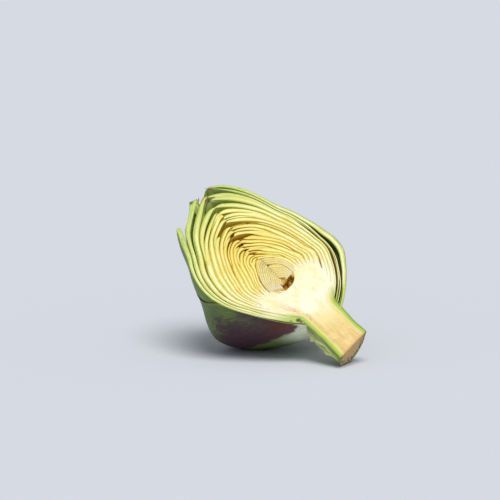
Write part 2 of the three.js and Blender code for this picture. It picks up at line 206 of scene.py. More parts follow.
def half_width(b, u):
    u = np.asarray(u, float); t = np.clip(u / b["ut"], 0, 1)
    lo = 0.7 + 0.3 * np.clip(t / 0.42, 0, 1) ** 0.8; x = np.clip((t - 0.42) / 0.58, 0, 1)
    y = b["point"]
    sh = np.where(t < 0.42, lo, (1 - y) * np.maximum(1 - x * x, 0) ** 0.5 + y * np.maximum(1 - x ** 1.5, 0) ** 0.9)
    w = b["W"] * sh * (b["rmax"] / np.maximum(prof(min(1, b["sn"] + 0.03), u)[0], 1)) ** 1.1
    cap = np.interp(t, [0, 0.3, 0.7, 0.82, 1], [b["W0"], b["Wm"], 150, min(2.4 * b["Wt"], 150), b["Wt"]]) * RAD
    return cap * np.tanh((w / cap) ** 3) ** (1 / 3)


def thick(b, v, u, s):
    t = np.clip(u / b["ut"], 0, 1); vc = np.clip(v, -1, 1)
    a = b["T"] * (1 - 0.72 * vc * vc) * np.interp(t, [0, 0.12, 0.4, 0.85, 1], [0.60, 0.66, 0.92, 0.62, 0.3])
    return np.maximum(a, MIN_THICK / metric(s, u))


def stack():
    """Each kept leaf with its inner surface, and the inner surface of what lies next outside it."""
    H = np.zeros((NT, NU + 1)); out = []
    for b in leaf_list():
        w0 = float(half_width(b, 0.0)); lo = b["th"] - w0; hi = b["th"] + w0
        if not any(min(hi + o, PI) - max(lo + o, 0) > 6 * RAD for o in (0, 2 * PI, -2 * PI)):
            continue
        D = np.maximum(blur(dilate(H, 4, 2), 2.0, 1.2), dilate(H, 1, 1))
        t = UU / b["ut"]
        G = (np.maximum(D + b["gap"] / metric(np.maximum(D, 0.02), UU), b["sn"])
             + (b["lift"] + b["bulge"] * (1 - np.minimum(1, np.abs(wrap(TT - b["th"])) / 1.25) ** 2))
             * np.interp(UU, [0, 0.1, 0.28, 0.4, 0.55, 0.78], [0, 0.15, 0.85, 1, 0.3, 0])
             + b["flare"] * np.clip((t - 0.7) / 0.3, 0, 1) ** 2)
        w = half_width(b, U)[None, :]; v = wrap(TT - b["th"]) / w
        foot = (np.abs(v) <= 1) & (UU <= b["ut"])
        T = thick(b, v, UU, G)
        under = H
        H = np.where(foot, np.maximum(H, G + T), H)
        out.append(dict(b=b, G=G, T=T, v=v, foot=foot, under=under))
    far = 9.0
    N = np.full((NT, NU + 1), far)
    for e in reversed(out):
        e["extra"] = 0.0
        e["G"] = e["G"] + (e["G"].mean(0)[None, :] - e["G"]) * smooth(UU, 0.93, 1.0)
        if e["b"]["i"] == 49:
            e["G"] = e["G"] - 1.0 / metric(e["G"], UU) * smooth(UU, 0.1, 0.2) * smooth(UU, 0.62, 0.5)
        if e["b"]["i"] in THICKER:
            # the outermost leaves are fleshy, and thicken inwards into the room under them
            met = metric(e["G"], UU)
            floor_ = np.minimum(e["G"], blur(dilate(e["under"], 1, 1), 1.0, 1.0) + 0.2 / met)
            g = np.maximum(e["G"] - np.interp(UU, *THICKER[e["b"]["i"]]) / met, floor_)
            e["extra"] = e["G"] - g; e["G"] = g
        e["N"] = N.copy()
        N = np.where(e["foot"], np.minimum(N, e["G"]), N)
    return out


def spline(F, th, u):
    """Smooth sample of a field on the (th, u) grid, by uniform cubic B-splines."""
    x = (np.asarray(th) / (2 * PI) * NT) % NT; y = np.clip(u, 0, 1) * NU
    i = np.floor(x).astype(int); fx = x - i
    j = np.clip(np.floor(y).astype(int), 0, NU - 1); fy = y - j

    def wts(t):
        return [(1 - t) ** 3 / 6, (3 * t ** 3 - 6 * t ** 2 + 4) / 6, (-3 * t ** 3 + 3 * t ** 2 + 3 * t + 1) / 6, t ** 3 / 6]
    wx, wy = wts(fx), wts(fy)
    out = 0
    for p in range(4):
        for q in range(4):
            out = out + wx[p] * wy[q] * F[(i + p - 1) % NT, np.clip(j + q - 1, 0, NU)]
    return out


# ------------------------------------------------------------------ mesh writing
def make_mesh(name, co, faces, mats, mat_index=None, attrs=None, uv=None, smooth_shade=True):
    """co in mm, world frame; faces a list of int arrays (k x 3 or k x 4); attrs name -> per-vertex floats; uv per-vertex pairs."""
    me = bpy.data.meshes.new(name)
    co = np.asarray(co, np.float32) / 1000.0
    loops = np.concatenate([f.ravel() for f in faces]).astype(np.int32)
    sizes = np.concatenate([np.full(len(f), f.shape[1], np.int32) for f in faces])
    starts = np.concatenate([[0], np.cumsum(sizes)[:-1]]).astype(np.int32)
    me.vertices.add(len(co)); me.vertices.foreach_set("co", co.ravel())
    me.loops.add(len(loops)); me.loops.foreach_set("vertex_index", loops)
    me.polygons.add(len(sizes)); me.polygons.foreach_set("loop_start", starts)
    me.polygons.foreach_set("loop_total", sizes)
    for m in mats:
        me.materials.append(m)
    if mat_index is not None:
        me.polygons.foreach_set("material_index", np.asarray(mat_index, np.int32))
    me.polygons.foreach_set("use_smooth", np.full(len(sizes), smooth_shade, bool))
    me.update(calc_edges=True)
    if uv is not None:
        layer = me.uv_layers.new(name="leaf")
        layer.data.foreach_set("uv", np.asarray(uv, np.float32)[loops].ravel())
    for k, a in (attrs or {}).items():
        at = me.attributes.new(k, "FLOAT", "POINT")
        at.data.foreach_set("value", np.asarray(a, np.float32).ravel())
    me.validate(clean_customdata=False)
    ob = bpy.data.objects.new(name, me)
    bpy.context.scene.collection.objects.link(ob)
    return ob


def grid_faces(ids, flip=False):
    """Quads over a 2-D array of vertex ids."""
    a, b, c, d = ids[:-1, :-1], ids[:-1, 1:], ids[1:, 1:], ids[1:, :-1]
    q = np.stack([a, b, c, d], -1).reshape(-1, 4)
    return q[:, ::-1] if flip else q


# ------------------------------------------------------------------ node helpers
def lin(hexa):
    out = []
    for k in (0, 2, 4):
        c = int(hexa[k:k + 2], 16) / 255
        out.append(c / 12.92 if c <= 0.04045 else ((c + 0.055) / 1.055) ** 2.4)
    return (*out, 1.0)


class Nodes:
    def __init__(self, name):
        self.mat = bpy.data.materials.new(name)
        self.mat.use_nodes = True
        self.t = self.mat.node_tree
        self.bsdf = self.t.nodes["Principled BSDF"]

    def put(self, socket, value):
        if isinstance(value, bpy.types.NodeSocket):
            self.t.links.new(value, socket)
        else:
            socket.default_value = value

    def node(self, kind, **props):
        n = self.t.nodes.new(kind)
        for k, v in props.items():
            setattr(n, k, v)
        return n

    def attr(self, name):
        n = self.node("ShaderNodeAttribute", attribute_name=name)
        return n.outputs["Fac"]

    def uv(self):
        return self.node("ShaderNodeUVMap", uv_map="leaf").outputs["UV"]

    def obj(self):
        return self.node("ShaderNodeTexCoord").outputs["Object"]

    def math(self, op, a, b=None, c=None, clamp=False):
        n = self.node("ShaderNodeMath", operation=op, use_clamp=clamp)
        self.put(n.inputs[0], a)
        if b is not None:
            self.put(n.inputs[1], b)
        if c is not None:
            self.put(n.inputs[2], c)
        return n.outputs[0]

    def add(self, a, b): return self.math("ADD", a, b)
    def sub(self, a, b): return self.math("SUBTRACT", a, b)
    def mul(self, a, b): return self.math("MULTIPLY", a, b)
    def clampf(self, a): return self.math("ADD", a, 0.0, clamp=True)

    def step(self, x, a, b, lo=0.0, hi=1.0):
        n = self.node("ShaderNodeMapRange", interpolation_type="SMOOTHSTEP")
        self.put(n.inputs["Value"], x)
        n.inputs["From Min"].default_value = a
        n.inputs["From Max"].default_value = b
        n.inputs["To Min"].default_value = lo
        n.inputs["To Max"].default_value = hi
        return n.outputs["Result"]

    def mix(self, fac, a, b, mode="MIX"):
        n = self.node("ShaderNodeMix", data_type="RGBA", blend_type=mode, clamp_factor=True)
        self.put(n.inputs[0], fac)
        self.put(n.inputs[6], lin(a) if isinstance(a, str) else a)
        self.put(n.inputs[7], lin(b) if isinstance(b, str) else b)
        return n.outputs[2]

    def ramp(self, fac, stops, mode="LINEAR"):
        n = self.node("ShaderNodeValToRGB")
        n.color_ramp.interpolation = mode
        el = n.color_ramp.elements
        while len(el) < len(stops):
            el.new(0.5)
        for e, (p, c) in zip(el, stops):
            e.position = p
            e.color = lin(c) if isinstance(c, str) else c
        self.put(n.inputs["Fac"], fac)
        return n.outputs["Color"]

    def scaled(self, vec, sc, off=(0, 0, 0)):
        n = self.node("ShaderNodeMapping")
        self.put(n.inputs["Vector"], vec)
        n.inputs["Scale"].default_value = sc
        n.inputs["Location"].default_value = off
        return n.outputs["Vector"]

    def noise(self, vec, scale, detail=3.0, rough=0.5, dist=0.0):
        n = self.node("ShaderNodeTexNoise")
        self.put(n.inputs["Vector"], vec)
        n.inputs["Scale"].default_value = scale
        n.inputs["Detail"].default_value = detail
        n.inputs["Roughness"].default_value = rough
        n.inputs["Distortion"].default_value = dist
        return n.outputs["Fac"]

    def dot(self, vec, v):
        n = self.node("ShaderNodeVectorMath", operation="DOT_PRODUCT")
        self.put(n.inputs[0], vec)
        n.inputs[1].default_value = v
        return n.outputs["Value"]

    def bump(self, height, strength, dist_mm, normal=None):
        n = self.node("ShaderNodeBump")
        n.inputs["Strength"].default_value = strength
        n.inputs["Distance"].default_value = dist_mm / 1000
        self.put(n.inputs["Height"], height)
        if normal is not None:
            self.put(n.inputs["Normal"], normal)
        return n.outputs["Normal"]

    def finish(self, colour, rough, normal=None, sss=0.0, radius=(1.0, 0.7, 0.3), sss_mm=1.5, spec=0.5, coat=0.0):
        self.put(self.bsdf.inputs["Base Color"], colour)
        self.put(self.bsdf.inputs["Roughness"], rough)
        if normal is not None:
            self.put(self.bsdf.inputs["Normal"], normal)
        self.bsdf.inputs["Specular IOR Level"].default_value = spec
        if sss:
            self.bsdf.inputs["Subsurface Weight"].default_value = sss
            self.bsdf.inputs["Subsurface Radius"].default_value = radius
            self.bsdf.inputs["Subsurface Scale"].default_value = sss_mm / 1000
        if coat:
            self.bsdf.inputs["Coat Weight"].default_value = coat
            self.bsdf.inputs["Coat Roughness"].default_value = 0.35
        return self.mat


# ------------------------------------------------------------------ materials
# per-leaf attributes: f level 0 inside .. 1 outside, t along, v across, w through (0 inner face, 1 outer face),
# p purple share, k random per leaf
def skin_material():
    m = Nodes("bract_skin")
    f, t, v, w, p, k = (m.attr(x) for x in ("f", "t", "v", "w", "p", "k"))
    neck, cloud = m.attr("neck"), m.attr("cloud")
    uv = m.uv()
    fibre = m.noise(m.scaled(uv, (1.5, 0.045, 1)), 1.0, 4, 0.6)          # striations along the leaf
    fine = m.noise(m.scaled(uv, (4.2, 0.11, 1)), 1.0, 3, 0.6)
    blotch = m.noise(m.scaled(uv, (0.085, 0.05, 1)), 1.0, 4, 0.55, 0.6)   # broad mottling
    mottle = m.noise(m.scaled(uv, (0.30, 0.16, 1), (5, 2, 0)), 1.0, 5, 0.62, 0.8)
    speck = m.noise(m.scaled(uv, (1.3, 1.1, 1)), 1.0, 5, 0.65)
    # inside the head: cream at the root, yellow above
    inner = m.ramp(t, [(0.0, "fbf0b8"), (0.16, "fae48c"), (0.45, "f6d65c"), (0.8, "efc748"), (1.0, "dcb044")])
    middle = m.ramp(t, [(0.0, "faf0bc"), (0.2, "f8e890"), (0.55, "f2dc64"), (0.85, "e6d254"), (1.0, "cfc54c")])
    pale = m.mix(m.step(f, 0.25, 0.6), inner, middle)
    tipgreen = m.mul(m.step(t, 0.55, 0.95), m.step(f, 0.62, 0.84))
    pale = m.mix(m.mul(tipgreen, 0.85), pale, "92ac3f")
    # outer faces of the outer leaves
    green = m.ramp(blotch, [(0.22, "38521a"), (0.42, "506e24"), (0.58, "66842e"), (0.8, "829c40")])
    green = m.mix(m.step(fibre, 0.42, 0.64, 0.0, 0.5), green, "9cb260")
    green = m.mix(m.step(fine, 0.48, 0.64, 0.0, 0.38), green, "3f5c24")
    green = m.mix(m.step(t, 0.45, 0.0, 0.0, 0.4), green, "8fa068")
    rim = m.step(m.math("ABSOLUTE", v), 0.93, 0.985)
    green = m.mix(m.mul(m.mul(rim, m.step(t, 0.62, 0.45)), 0.6), green, "c0a468")
    bloom = m.step(m.noise(m.scaled(uv, (0.05, 0.03, 1), (3, 7, 0)), 1.0, 3, 0.5), 0.4, 0.75)
    green = m.mix(m.mul(bloom, 0.25), green, "868f5a")
    # painted shade: the lowest, belly leaf's outer green is darkened for its downward-facing side
    green = m.mix(m.step(f, 0.99, 0.999, 0.0, 0.35), green, "48602c")
    # whitish neck of the lowest leaf, streaked with green; its white is raised as painted light to lift the neck out
    # of the shade it lies in
    green = m.mix(m.mul(neck, m.step(fibre, 0.25, 0.7, 0.85, 1.0)), green, "fafce4")
    green = m.mix(m.mul(neck, m.step(fine, 0.50, 0.62, 0.0, 0.45)), green, "6f8c46")
    # inner faces of the outer leaves: pale green, whitish low down; darker along the middle as painted shade of the
    # gap under the next leaf, and lighter at the tip as painted light on the crown's shaded facets
    inface_painted_shade_and_light = m.ramp(t, [(0.0, "a8b564"), (0.2, "5f7038"), (0.6, "66803a"), (0.78, "a9c05c"), (1.0, "cddc80")])
    isout = m.step(w, 0.25, 0.75)
    greens = m.mix(isout, inface_painted_shade_and_light, green)
    amount = m.step(m.add(f, m.mul(m.sub(t, 0.5), 0.18)), 0.74, 0.93)
    col = m.mix(amount, pale, greens)
    # purple, with a soft broken border
    ragged = m.mul(m.sub(m.add(m.mul(fibre, 0.35), m.mul(mottle, 0.65)), 0.5), 2.6)
    pm = m.mul(m.step(m.add(p, ragged), 0.25, 0.80), isout)
    purple = m.ramp(m.add(m.mul(speck, 0.4), m.add(m.mul(fibre, 0.25), m.mul(mottle, 0.35))), [(0.3, "1c0a17"), (0.44, "35142a"), (0.56, "4e1f38"), (0.7, "74485c")])
    red = m.attr("red")
    purple = m.mix(m.mul(red, 0.85), purple, "5c0a1e")
    purple = m.mix(m.mul(cloud, m.step(mottle, 0.35, 0.65, 0.15, 0.7)), purple, "5f6c48")
    col = m.mix(m.mul(pm, 0.94), col, purple)
    # greyed bloom over the purple
    col = m.mix(m.mul(m.mul(pm, m.step(speck, 0.52, 0.8)), 0.08), col, "8c8c92")
    # dry tip
    dry = m.mul(m.step(t, 0.985, 1.0), m.step(f, 0.62, 0.8))
    col = m.mix(m.mul(dry, 0.55), col, "9c6a35")
    rough = m.step(blotch, 0.2, 0.8, 0.42, 0.6)
    nrm = m.bump(fibre, 0.35, 0.35)
    nrm = m.bump(fine, 0.25, 0.18, nrm)
    return m.finish(col, rough, nrm, sss=0.12, sss_mm=1.2, spec=0.35)


def bruise(m, col, ha, hb, ab):
    """A dark bruise and its neighbour where the lowest leaf was torn off the stem."""
    e1 = m.add(m.mul(m.sub(ha, ORIGIN_A), 0.6217), m.mul(m.sub(hb, ORIGIN_B), 0.7783))
    e2 = m.add(m.mul(m.sub(ha, ORIGIN_A), -0.6135), m.mul(m.sub(hb, ORIGIN_B), 0.4138))
    ragged = m.mul(m.sub(m.noise(m.scaled(ab, (0.9, 0.9, 1)), 1.0, 3), 0.5), 1.6)
    for (x0, y0, sx, sy, c, amt) in ((-31.4, 13.7, 1.7, 1.0, "38181c", 0.95), (-29.8, 12.9, 1.0, 0.8, "5b2a24", 0.85), (-35.6, 13.2, 1.3, 0.45, "6b4026", 0.7)):
        da = m.math("DIVIDE", m.sub(e1, x0), sx)
        db = m.math("DIVIDE", m.sub(e2, y0), sy)
        d = m.add(m.math("SQRT", m.add(m.mul(da, da), m.mul(db, db))), ragged)
        col = m.mix(m.mul(m.step(d, 1.15, 0.7), amt), col, c)
    return col


def flesh_material():
    """The knife-cut edge of the leaves."""
    m = Nodes("bract_cut_flesh")
    f, t, w, k = (m.attr(x) for x in ("f", "t", "w", "k"))
    uv = m.uv()
    streak = m.noise(m.scaled(uv, (2.2, 0.12, 1)), 1.0, 4, 0.6)
    thread = m.noise(m.scaled(uv, (5.5, 0.35, 1), (7, 1, 0)), 1.0, 4, 0.65)
    grain = m.noise(m.scaled(uv, (3.0, 1.6, 1)), 1.0, 3, 0.6)
    patch = m.noise(m.scaled(uv, (0.35, 0.06, 1), (2, 9, 0)), 1.0, 3, 0.5)
    inner = m.ramp(t, [(0.0, "fef8d2"), (0.12, "fef6c2"), (0.3, "fff7b2"), (0.6, "fff498"), (0.85, "feea80"), (1.0, "f4d85c")])
    outer = m.ramp(t, [(0.0, "fefada"), (0.12, "fefad2"), (0.35, "fffdc6"), (0.6, "fdfdbe"), (0.85, "f7fab0"), (1.0, "dcea8c")])
    core = m.mix(m.step(m.add(f, m.mul(m.sub(k, 0.5), 0.2)), 0.3, 0.75), inner, outer)
    core = m.mix(m.mul(m.step(patch, 0.46, 0.62), m.mul(m.step(t, 0.1, 0.3), 0.55)), core, "f3d752")
    # painted shade: the two faces of each leaf's cut edge are coloured deeper than its middle, standing in for the
    # shade of the rounded edge and of the groove between leaves
    painted_shade_in = m.step(m.add(w, m.mul(m.sub(streak, 0.5), 0.3)), 0.36, 0.04)
    painted_shade_out = m.step(m.add(w, m.mul(m.sub(streak, 0.5), 0.3)), 0.54, 0.94)
    side = m.mix(m.step(f, 0.45, 0.85), "ebca48", "cfd254")
    away = m.step(t, 0.03, 0.22)
    core = m.mix(m.mul(m.mul(painted_shade_in, 0.6), away), core, side)
    core = m.mix(m.mul(m.mul(painted_shade_out, 0.80), away), core, side)
    # green skin on the outer leaves
    gamt = m.mul(m.step(m.add(f, m.mul(m.sub(t, 0.5), 0.20)), 0.78, 0.96), m.math("MAXIMUM", m.step(t, 0.0, 0.08), m.step(f, 0.84, 0.93)))
    ww = m.add(w, m.mul(m.sub(streak, 0.5), 0.35))
    greens = m.ramp(m.add(m.mul(thread, 0.6), m.mul(streak, 0.4)), [(0.34, "739c32"), (0.43, "a2c048"), (0.52, "cadc74"), (0.62, "edf2b4")])
    skin = m.mul(m.step(ww, 0.36, 0.66), gamt)
    core = m.mix(m.mul(skin, 0.92), core, m.mix(m.step(w, 0.75, 1.0), greens, "6b8f30"))
    core = m.mix(m.mul(m.mul(m.step(w, 0.25, 0.0), gamt), 0.5), core, "a9c45c")
    # the upper part of the outer leaves is green right through
    tip = m.mul(m.step(m.add(t, m.mul(m.sub(streak, 0.5), 0.3)), 0.68, 0.96), m.step(f, 0.80, 0.90))
    core = m.mix(m.mul(tip, 0.9), core, greens)
    tip2 = m.mul(m.step(t, 0.84, 1.0), m.step(f, 0.70, 0.82))
    core = m.mix(m.mul(tip2, 0.6), core, greens)
    core = m.mix(m.step(streak, 0.50, 0.62, 0.0, 0.35), core, "e4cd54")
    core = m.mix(m.mul(m.step(thread, 0.56, 0.68), m.step(t, 0.1, 0.3, 0.0, 0.35)), core, "b98f3a")
    ob = m.scaled(m.obj(), (1000, 1000, 1000))
    ha = m.dot(ob, tuple(E_A)); hb = m.dot(ob, tuple(E_B))
    comb = m.node("ShaderNodeCombineXYZ")
    m.put(comb.inputs[0], ha); m.put(comb.inputs[1], hb)
    # green where the outer leaves grow out of the stem's rind
    up = m.sub(ORIGIN_A, ha)
    rind = m.mul(m.step(up, 45.0, 35.0), m.step(f, 0.66, 0.78))
    core = m.mix(m.mul(rind, 0.9), core, m.ramp(thread, [(0.36, "8fae30"), (0.5, "b2ca48"), (0.62, "d8e07c")]))
    core = bruise(m, core, ha, hb, comb.outputs[0])
    # browned very tip
    dry = m.mul(m.step(t, 0.985, 1.0), m.step(f, 0.7, 0.85))
    core = m.mix(m.mul(dry, 0.7), core, "96622e")
    nrm = m.bump(streak, 0.35, 0.3)
    nrm = m.bump(grain, 0.2, 0.15, nrm)
    nrm = m.bump(thread, 0.25, 0.15, nrm)
    return m.finish(core, 0.42, nrm, sss=0.25, sss_mm=1.6, spec=0.4)


def spine_material():
    m = Nodes("bract_spine")
    t = m.attr("t")
    n = m.noise(m.obj(), 900.0, 3)
    col = m.ramp(m.add(m.mul(n, 0.4), m.mul(t, 0.6)), [(0.2, "b98a45"), (0.6, "a2672c"), (1.0, "5f3a1c")])
    return m.finish(col, 0.5, m.bump(n, 0.2, 0.1))


def heart_cut_material():
    """Cut face of heart and stem. h, q: height and share of the way from axis to skin; side: that share, signed."""
    m = Nodes("heart_cut_flesh")
    h, q, side = m.attr("h"), m.attr("q"), m.attr("side")
    ob = m.scaled(m.obj(), (1000, 1000, 1000))
    ha = m.dot(ob, tuple(E_A)); hb = m.dot(ob, tuple(E_B))
    comb = m.node("ShaderNodeCombineXYZ")
    m.put(comb.inputs[0], ha); m.put(comb.inputs[1], hb)
    ab = comb.outputs[0]
    along = m.node("ShaderNodeCombineXYZ")
    m.put(along.inputs[0], m.mul(side, 14.0)); m.put(along.inputs[1], m.mul(h, 62.0))
    fl = along.outputs[0]
    fibre = m.noise(m.scaled(fl, (1.1, 0.045, 1)), 1.0, 4, 0.6, 0.25)
    fibre2 = m.noise(m.scaled(fl, (3.0, 0.12, 1), (4, 1, 0)), 1.0, 3, 0.6, 0.2)
    cloud = m.noise(m.scaled(ab, (0.09, 0.12, 1)), 1.0, 4, 0.6)
    speck = m.noise(m.scaled(ab, (0.5, 0.7, 1), (11, 3, 0)), 1.0, 4, 0.75)
    fleck = m.noise(m.scaled(ab, (1.1, 1.4, 1), (2, 8, 0)), 1.0, 3, 0.6)
    base = m.ramp(h, [(0.0, "e6c780"), (0.1, "ecd189"), (0.26, "edd388"), (0.42, "f5e7a6"), (0.58, "fffce0"), (0.85, "fefad4"), (1.0, "fbf0bc")])
    # stem core is beige with fibres
    core = m.mul(m.step(q, 0.80, 0.2), m.step(h, 0.40, 0.12))
    col = m.mix(m.mul(core, 0.5), base, "e6bd6c")
    right = m.step(side, 0.05, 0.45)
    left = m.step(side, -0.05, -0.45)
    # ochre shade in the flesh beside the rind
    warm = m.mul(m.step(q, 0.45, 0.72), m.step(h, 0.82, 0.45))
    col = m.mix(m.mul(warm, m.step(cloud, 0.35, 0.65, 0.10, 0.55)), col, "f0cf7c")
    col = m.mix(m.mul(m.step(fibre, 0.49, 0.64), m.step(h, 0.62, 0.12, 0.0, 0.6)), col, "dcac5e")
    col = m.mix(m.mul(m.step(fibre2, 0.52, 0.66), m.step(h, 0.6, 0.1, 0.12, 0.55)), col, "fff4d0")
    # fibres along the lower side, tan and brown
    band = m.mul(m.mul(m.step(q, 0.40, 0.58), m.step(q, 0.80, 0.66)), m.mul(left, m.step(h, 0.90, 0.66)))
    col = m.mix(m.mul(band, m.step(fibre2, 0.40, 0.58, 0.10, 0.75)), col, "e0a860")
    col = m.mix(m.mul(band, m.mul(m.step(fleck, 0.56, 0.66), 0.75)), col, "b06f34")
    # yellow olive streaks beside the lower rind
    olive = m.mul(m.mul(m.step(m.add(q, m.mul(m.sub(fibre2, 0.5), 0.5)), 0.42, 0.66), left), m.step(h, 0.52, 0.34))
    col = m.mix(m.mul(olive, m.step(fibre, 0.36, 0.62, 0.25, 0.85)), col, "d3c766")
    # vascular ring between core and rind
    ring = m.mul(m.mul(m.step(q, 0.60, 0.70), m.step(q, 0.84, 0.76)), m.mul(right, m.step(h, 0.75, 0.3)))
    col = m.mix(m.mul(ring, m.step(fibre, 0.3, 0.7, 0.15, 0.65)), col, "e6bf74")
    # warm clouds and pinkish-orange specks in the heart
    col = m.mix(m.step(cloud, 0.46, 0.62, 0.0, 0.6), col, "f9e29a")
    col = m.mix(m.mul(m.step(speck, 0.57, 0.68), 0.34), col, "eeb070")
    # green rind, fading up into the heart
    qq = m.add(q, m.mul(m.sub(fibre2, 0.5), 0.09))
    rimh = m.step(m.add(h, m.mul(m.sub(cloud, 0.5), 0.1)), 0.70, 0.50)
    col = m.mix(m.mul(m.step(qq, 0.66, 0.75), m.mul(rimh, 0.8)), col, "e4e290")
    col = m.mix(m.mul(m.step(qq, 0.74, 0.83), m.mul(rimh, 0.95)), col, m.ramp(fibre2, [(0.3, "a2bd34"), (0.6, "bccf48"), (0.9, "dfe58c")]))
    col = m.mix(m.mul(m.step(qq, 0.87, 0.95), m.mul(rimh, 0.95)), col, m.ramp(fibre, [(0.3, "7d9c28"), (0.7, "94b236")]))
    col = m.mix(m.mul(m.step(q, 0.975, 0.995), m.mul(rimh, 0.7)), col, "5c7424")
    # the cut end has dried a little
    col = m.mix(m.mul(m.step(h, 0.03, 0.0), 0.45), col, "b98a4c")
    col = bruise(m, col, ha, hb, ab)
    nrm = m.bump(fibre2, 0.35, 0.3)
    nrm = m.bump(speck, 0.25, 0.35, nrm)
    return m.finish(col, 0.45, nrm, sss=0.15, sss_mm=1.6, spec=0.3)


def stem_skin_material():
    m = Nodes("stem_skin")
    h = m.attr("h")
    uv = m.uv()
    fibre = m.noise(m.scaled(uv, (0.9, 0.05, 1)), 1.0, 4, 0.6, 0.2)
    fine = m.noise(m.scaled(uv, (3.2, 0.12, 1)), 1.0, 3, 0.6)
    speck = m.noise(m.scaled(uv, (0.9, 0.8, 1)), 1.0, 5, 0.7)
    col = m.ramp(fibre, [(0.36, "64802a"), (0.46, "86a040"), (0.56, "a5b85e"), (0.68, "cdd698")])
    col = m.mix(m.step(fine, 0.48, 0.64, 0.0, 0.5), col, "5f7a2e")
    col = m.mix(m.mul(m.step(h, 0.1, 0.25), 0.45), col, "a9b488")
    # brown scuffs where leaves were pulled and at the cut end
    scuff = m.mul(m.step(speck, 0.55, 0.65), m.step(h, 0.34, 0.05, 0.1, 0.6))
    col = m.mix(scuff, col, "5d4526")
    # the stub of a torn leaf, ragged and pale; its pale streaks are lightened as painted light, since the stub faces
    # away from the lamp
    sep = m.node("ShaderNodeSeparateXYZ")
    m.put(sep.inputs[0], uv)
    torn = m.mul(m.mul(m.step(sep.outputs[0], 29.0, 32.0), m.step(sep.outputs[0], 36.5, 35.0)), m.mul(m.step(sep.outputs[1], 1.0, 5.0), m.step(sep.outputs[1], 27.0, 22.0)))
    col = m.mix(m.mul(torn, m.step(fibre, 0.42, 0.60, 0.15, 0.9)), col, "eef0a0")
    col = m.mix(m.mul(torn, m.step(speck, 0.585, 0.64, 0.0, 0.9)), col, "4a3218")
    col = m.mix(m.mul(m.step(h, 0.03, 0.0), 0.7), col, "6e5c3a")
    # the floor of the hollow under the choke: golden brown, lightened as painted light against the hollow's shadow
    col = m.mix(m.step(h, 0.62, 0.8), col, m.ramp(speck, [(0.35, "d8a83c"), (0.5, "e2b444"), (0.65, "ecc256")]))
    nrm = m.bump(fibre, 0.5, 0.6)
    nrm = m.bump(speck, 0.25, 0.3, nrm)
    return m.finish(col, 0.5, nrm, sss=0.08, spec=0.35)


def stem_end_material():
    m = Nodes("stem_end")
    q = m.attr("q")
    ob = m.scaled(m.obj(), (1000, 1000, 1000))
    grain = m.noise(ob, 1.6, 4, 0.7)
    dots = m.node("ShaderNodeTexVoronoi")
    m.put(dots.inputs["Vector"], ob); dots.inputs["Scale"].default_value = 0.62
    dd = dots.outputs["Distance"]
    col = m.ramp(grain, [(0.3, "b8965a"), (0.5, "d2b078"), (0.7, "e6ca94")])
    ring = m.mul(m.step(q, 0.55, 0.72), m.step(q, 1.0, 0.92))
    col = m.mix(m.mul(ring, m.step(dd, 0.55, 0.25)), col, "574826")
    col = m.mix(m.mul(m.step(m.add(q, m.mul(m.sub(grain, 0.5), 0.3)), 0.78, 0.90), 0.9), col, m.ramp(dd, [(0.12, "332c18"), (0.35, "6f6b3c"), (0.6, "a3a368")]))
    nrm = m.bump(grain, 0.5, 0.5)
    nrm = m.bump(dd, 0.4, 0.3, nrm)
    return m.finish(col, 0.7, nrm, spec=0.3)


def choke_material():
    m = Nodes("choke_florets")
    t, w, f = m.attr("t"), m.attr("w"), m.attr("f")
    uv = m.uv()
    streak = m.noise(m.scaled(uv, (2.6, 0.2, 1)), 1.0, 4, 0.6)
    hair = m.noise(m.scaled(uv, (7.0, 0.3, 1), (3, 3, 0)), 1.0, 3, 0.6)
    col = m.ramp(t, [(0.0, "fef6d2"), (0.25, "feefb4"), (0.6, "fdea9c"), (1.0, "fadf86")])
    col = m.mix(m.step(streak, 0.48, 0.64, 0.0, 0.5), col, "f4d27c")
    col = m.mix(m.step(hair, 0.50, 0.64, 0.0, 0.40), col, "eec468")
    col = m.mix(m.mul(m.step(f, 0.5, 0.0), 0.35), col, "f7d49a")
    # painted shade: each shell is coloured deeper towards its two faces, standing in for the shade in the seams
    # between the florets
    col = m.mix(m.mul(m.step(w, 0.4, 0.0), 0.25), col, "ecc068")
    col = m.mix(m.math("MAXIMUM", m.step(w, 0.16, 0.0, 0.0, 0.55), m.step(w, 0.84, 1.0, 0.0, 0.55)), col, "e2b65a")
    # round the hollow the florets are golden brown at the foot, lightened as painted light against the hollow's shadow
    col = m.mix(m.mul(m.step(f, 0.76, 0.70), m.step(t, 0.14, 0.05)), col, "e6b446")
    nrm = m.bump(streak, 0.4, 0.25)
    return m.finish(col, 0.5, nrm, sss=0.35, sss_mm=2.0, spec=0.3)


# the stem end's centre along the cut face's two directions, for marks placed on the cut face
ORIGIN_A, ORIGIN_B = float(AXIS_END @ E_A), float(AXIS_END @ E_B)

SKIN, FLESH, SPINE = skin_material(), flesh_material(), spine_material()
HEART_CUT, STEM_SKIN, STEM_END, CHOKE = heart_cut_material(), stem_skin_material(), stem_end_material(), choke_material()


# ------------------------------------------------------------------ leaves
def wave(th, u, i, k):
    """Slow random swell over a leaf, about -1..1."""
    a = rnd(i, k) * 6.28; b = rnd(i, k + 1) * 6.28; c = rnd(i, k + 2) * 6.28
    return (np.sin(2.3 * th + 5.1 * u + a) + np.sin(4.7 * th - 8.3 * u + b) * 0.6 + np.sin(7.9 * th + 13 * u + c) * 0.35) / 1.95


# leaves that end short of the axis leave pockets along it; the others close over it
SHORT = {7: 0.97, 11: 0.97, 16: 0.965, 20: 0.96, 21: 0.96, 24: 0.965, 31: 0.93, 32: 0.915, 40: 0.99, 41: 1.0, 44: 1.0, 45: 1.0}


def tip_reach(i, f, ut):
    if i in SHORT:
        return SHORT[i]
    if f < 0.72:
        return 1.12
    if f < 0.84:
        return 1.02
    return min({54: 0.992, 49: 0.996, 50: 0.965, 53: 0.867}.get(i, ut + 0.01), 1.0)


KEEP_THIN = {49: 1.0, 46: 1.1, 44: 1.0, 54: 1.0, 53: 1.0}


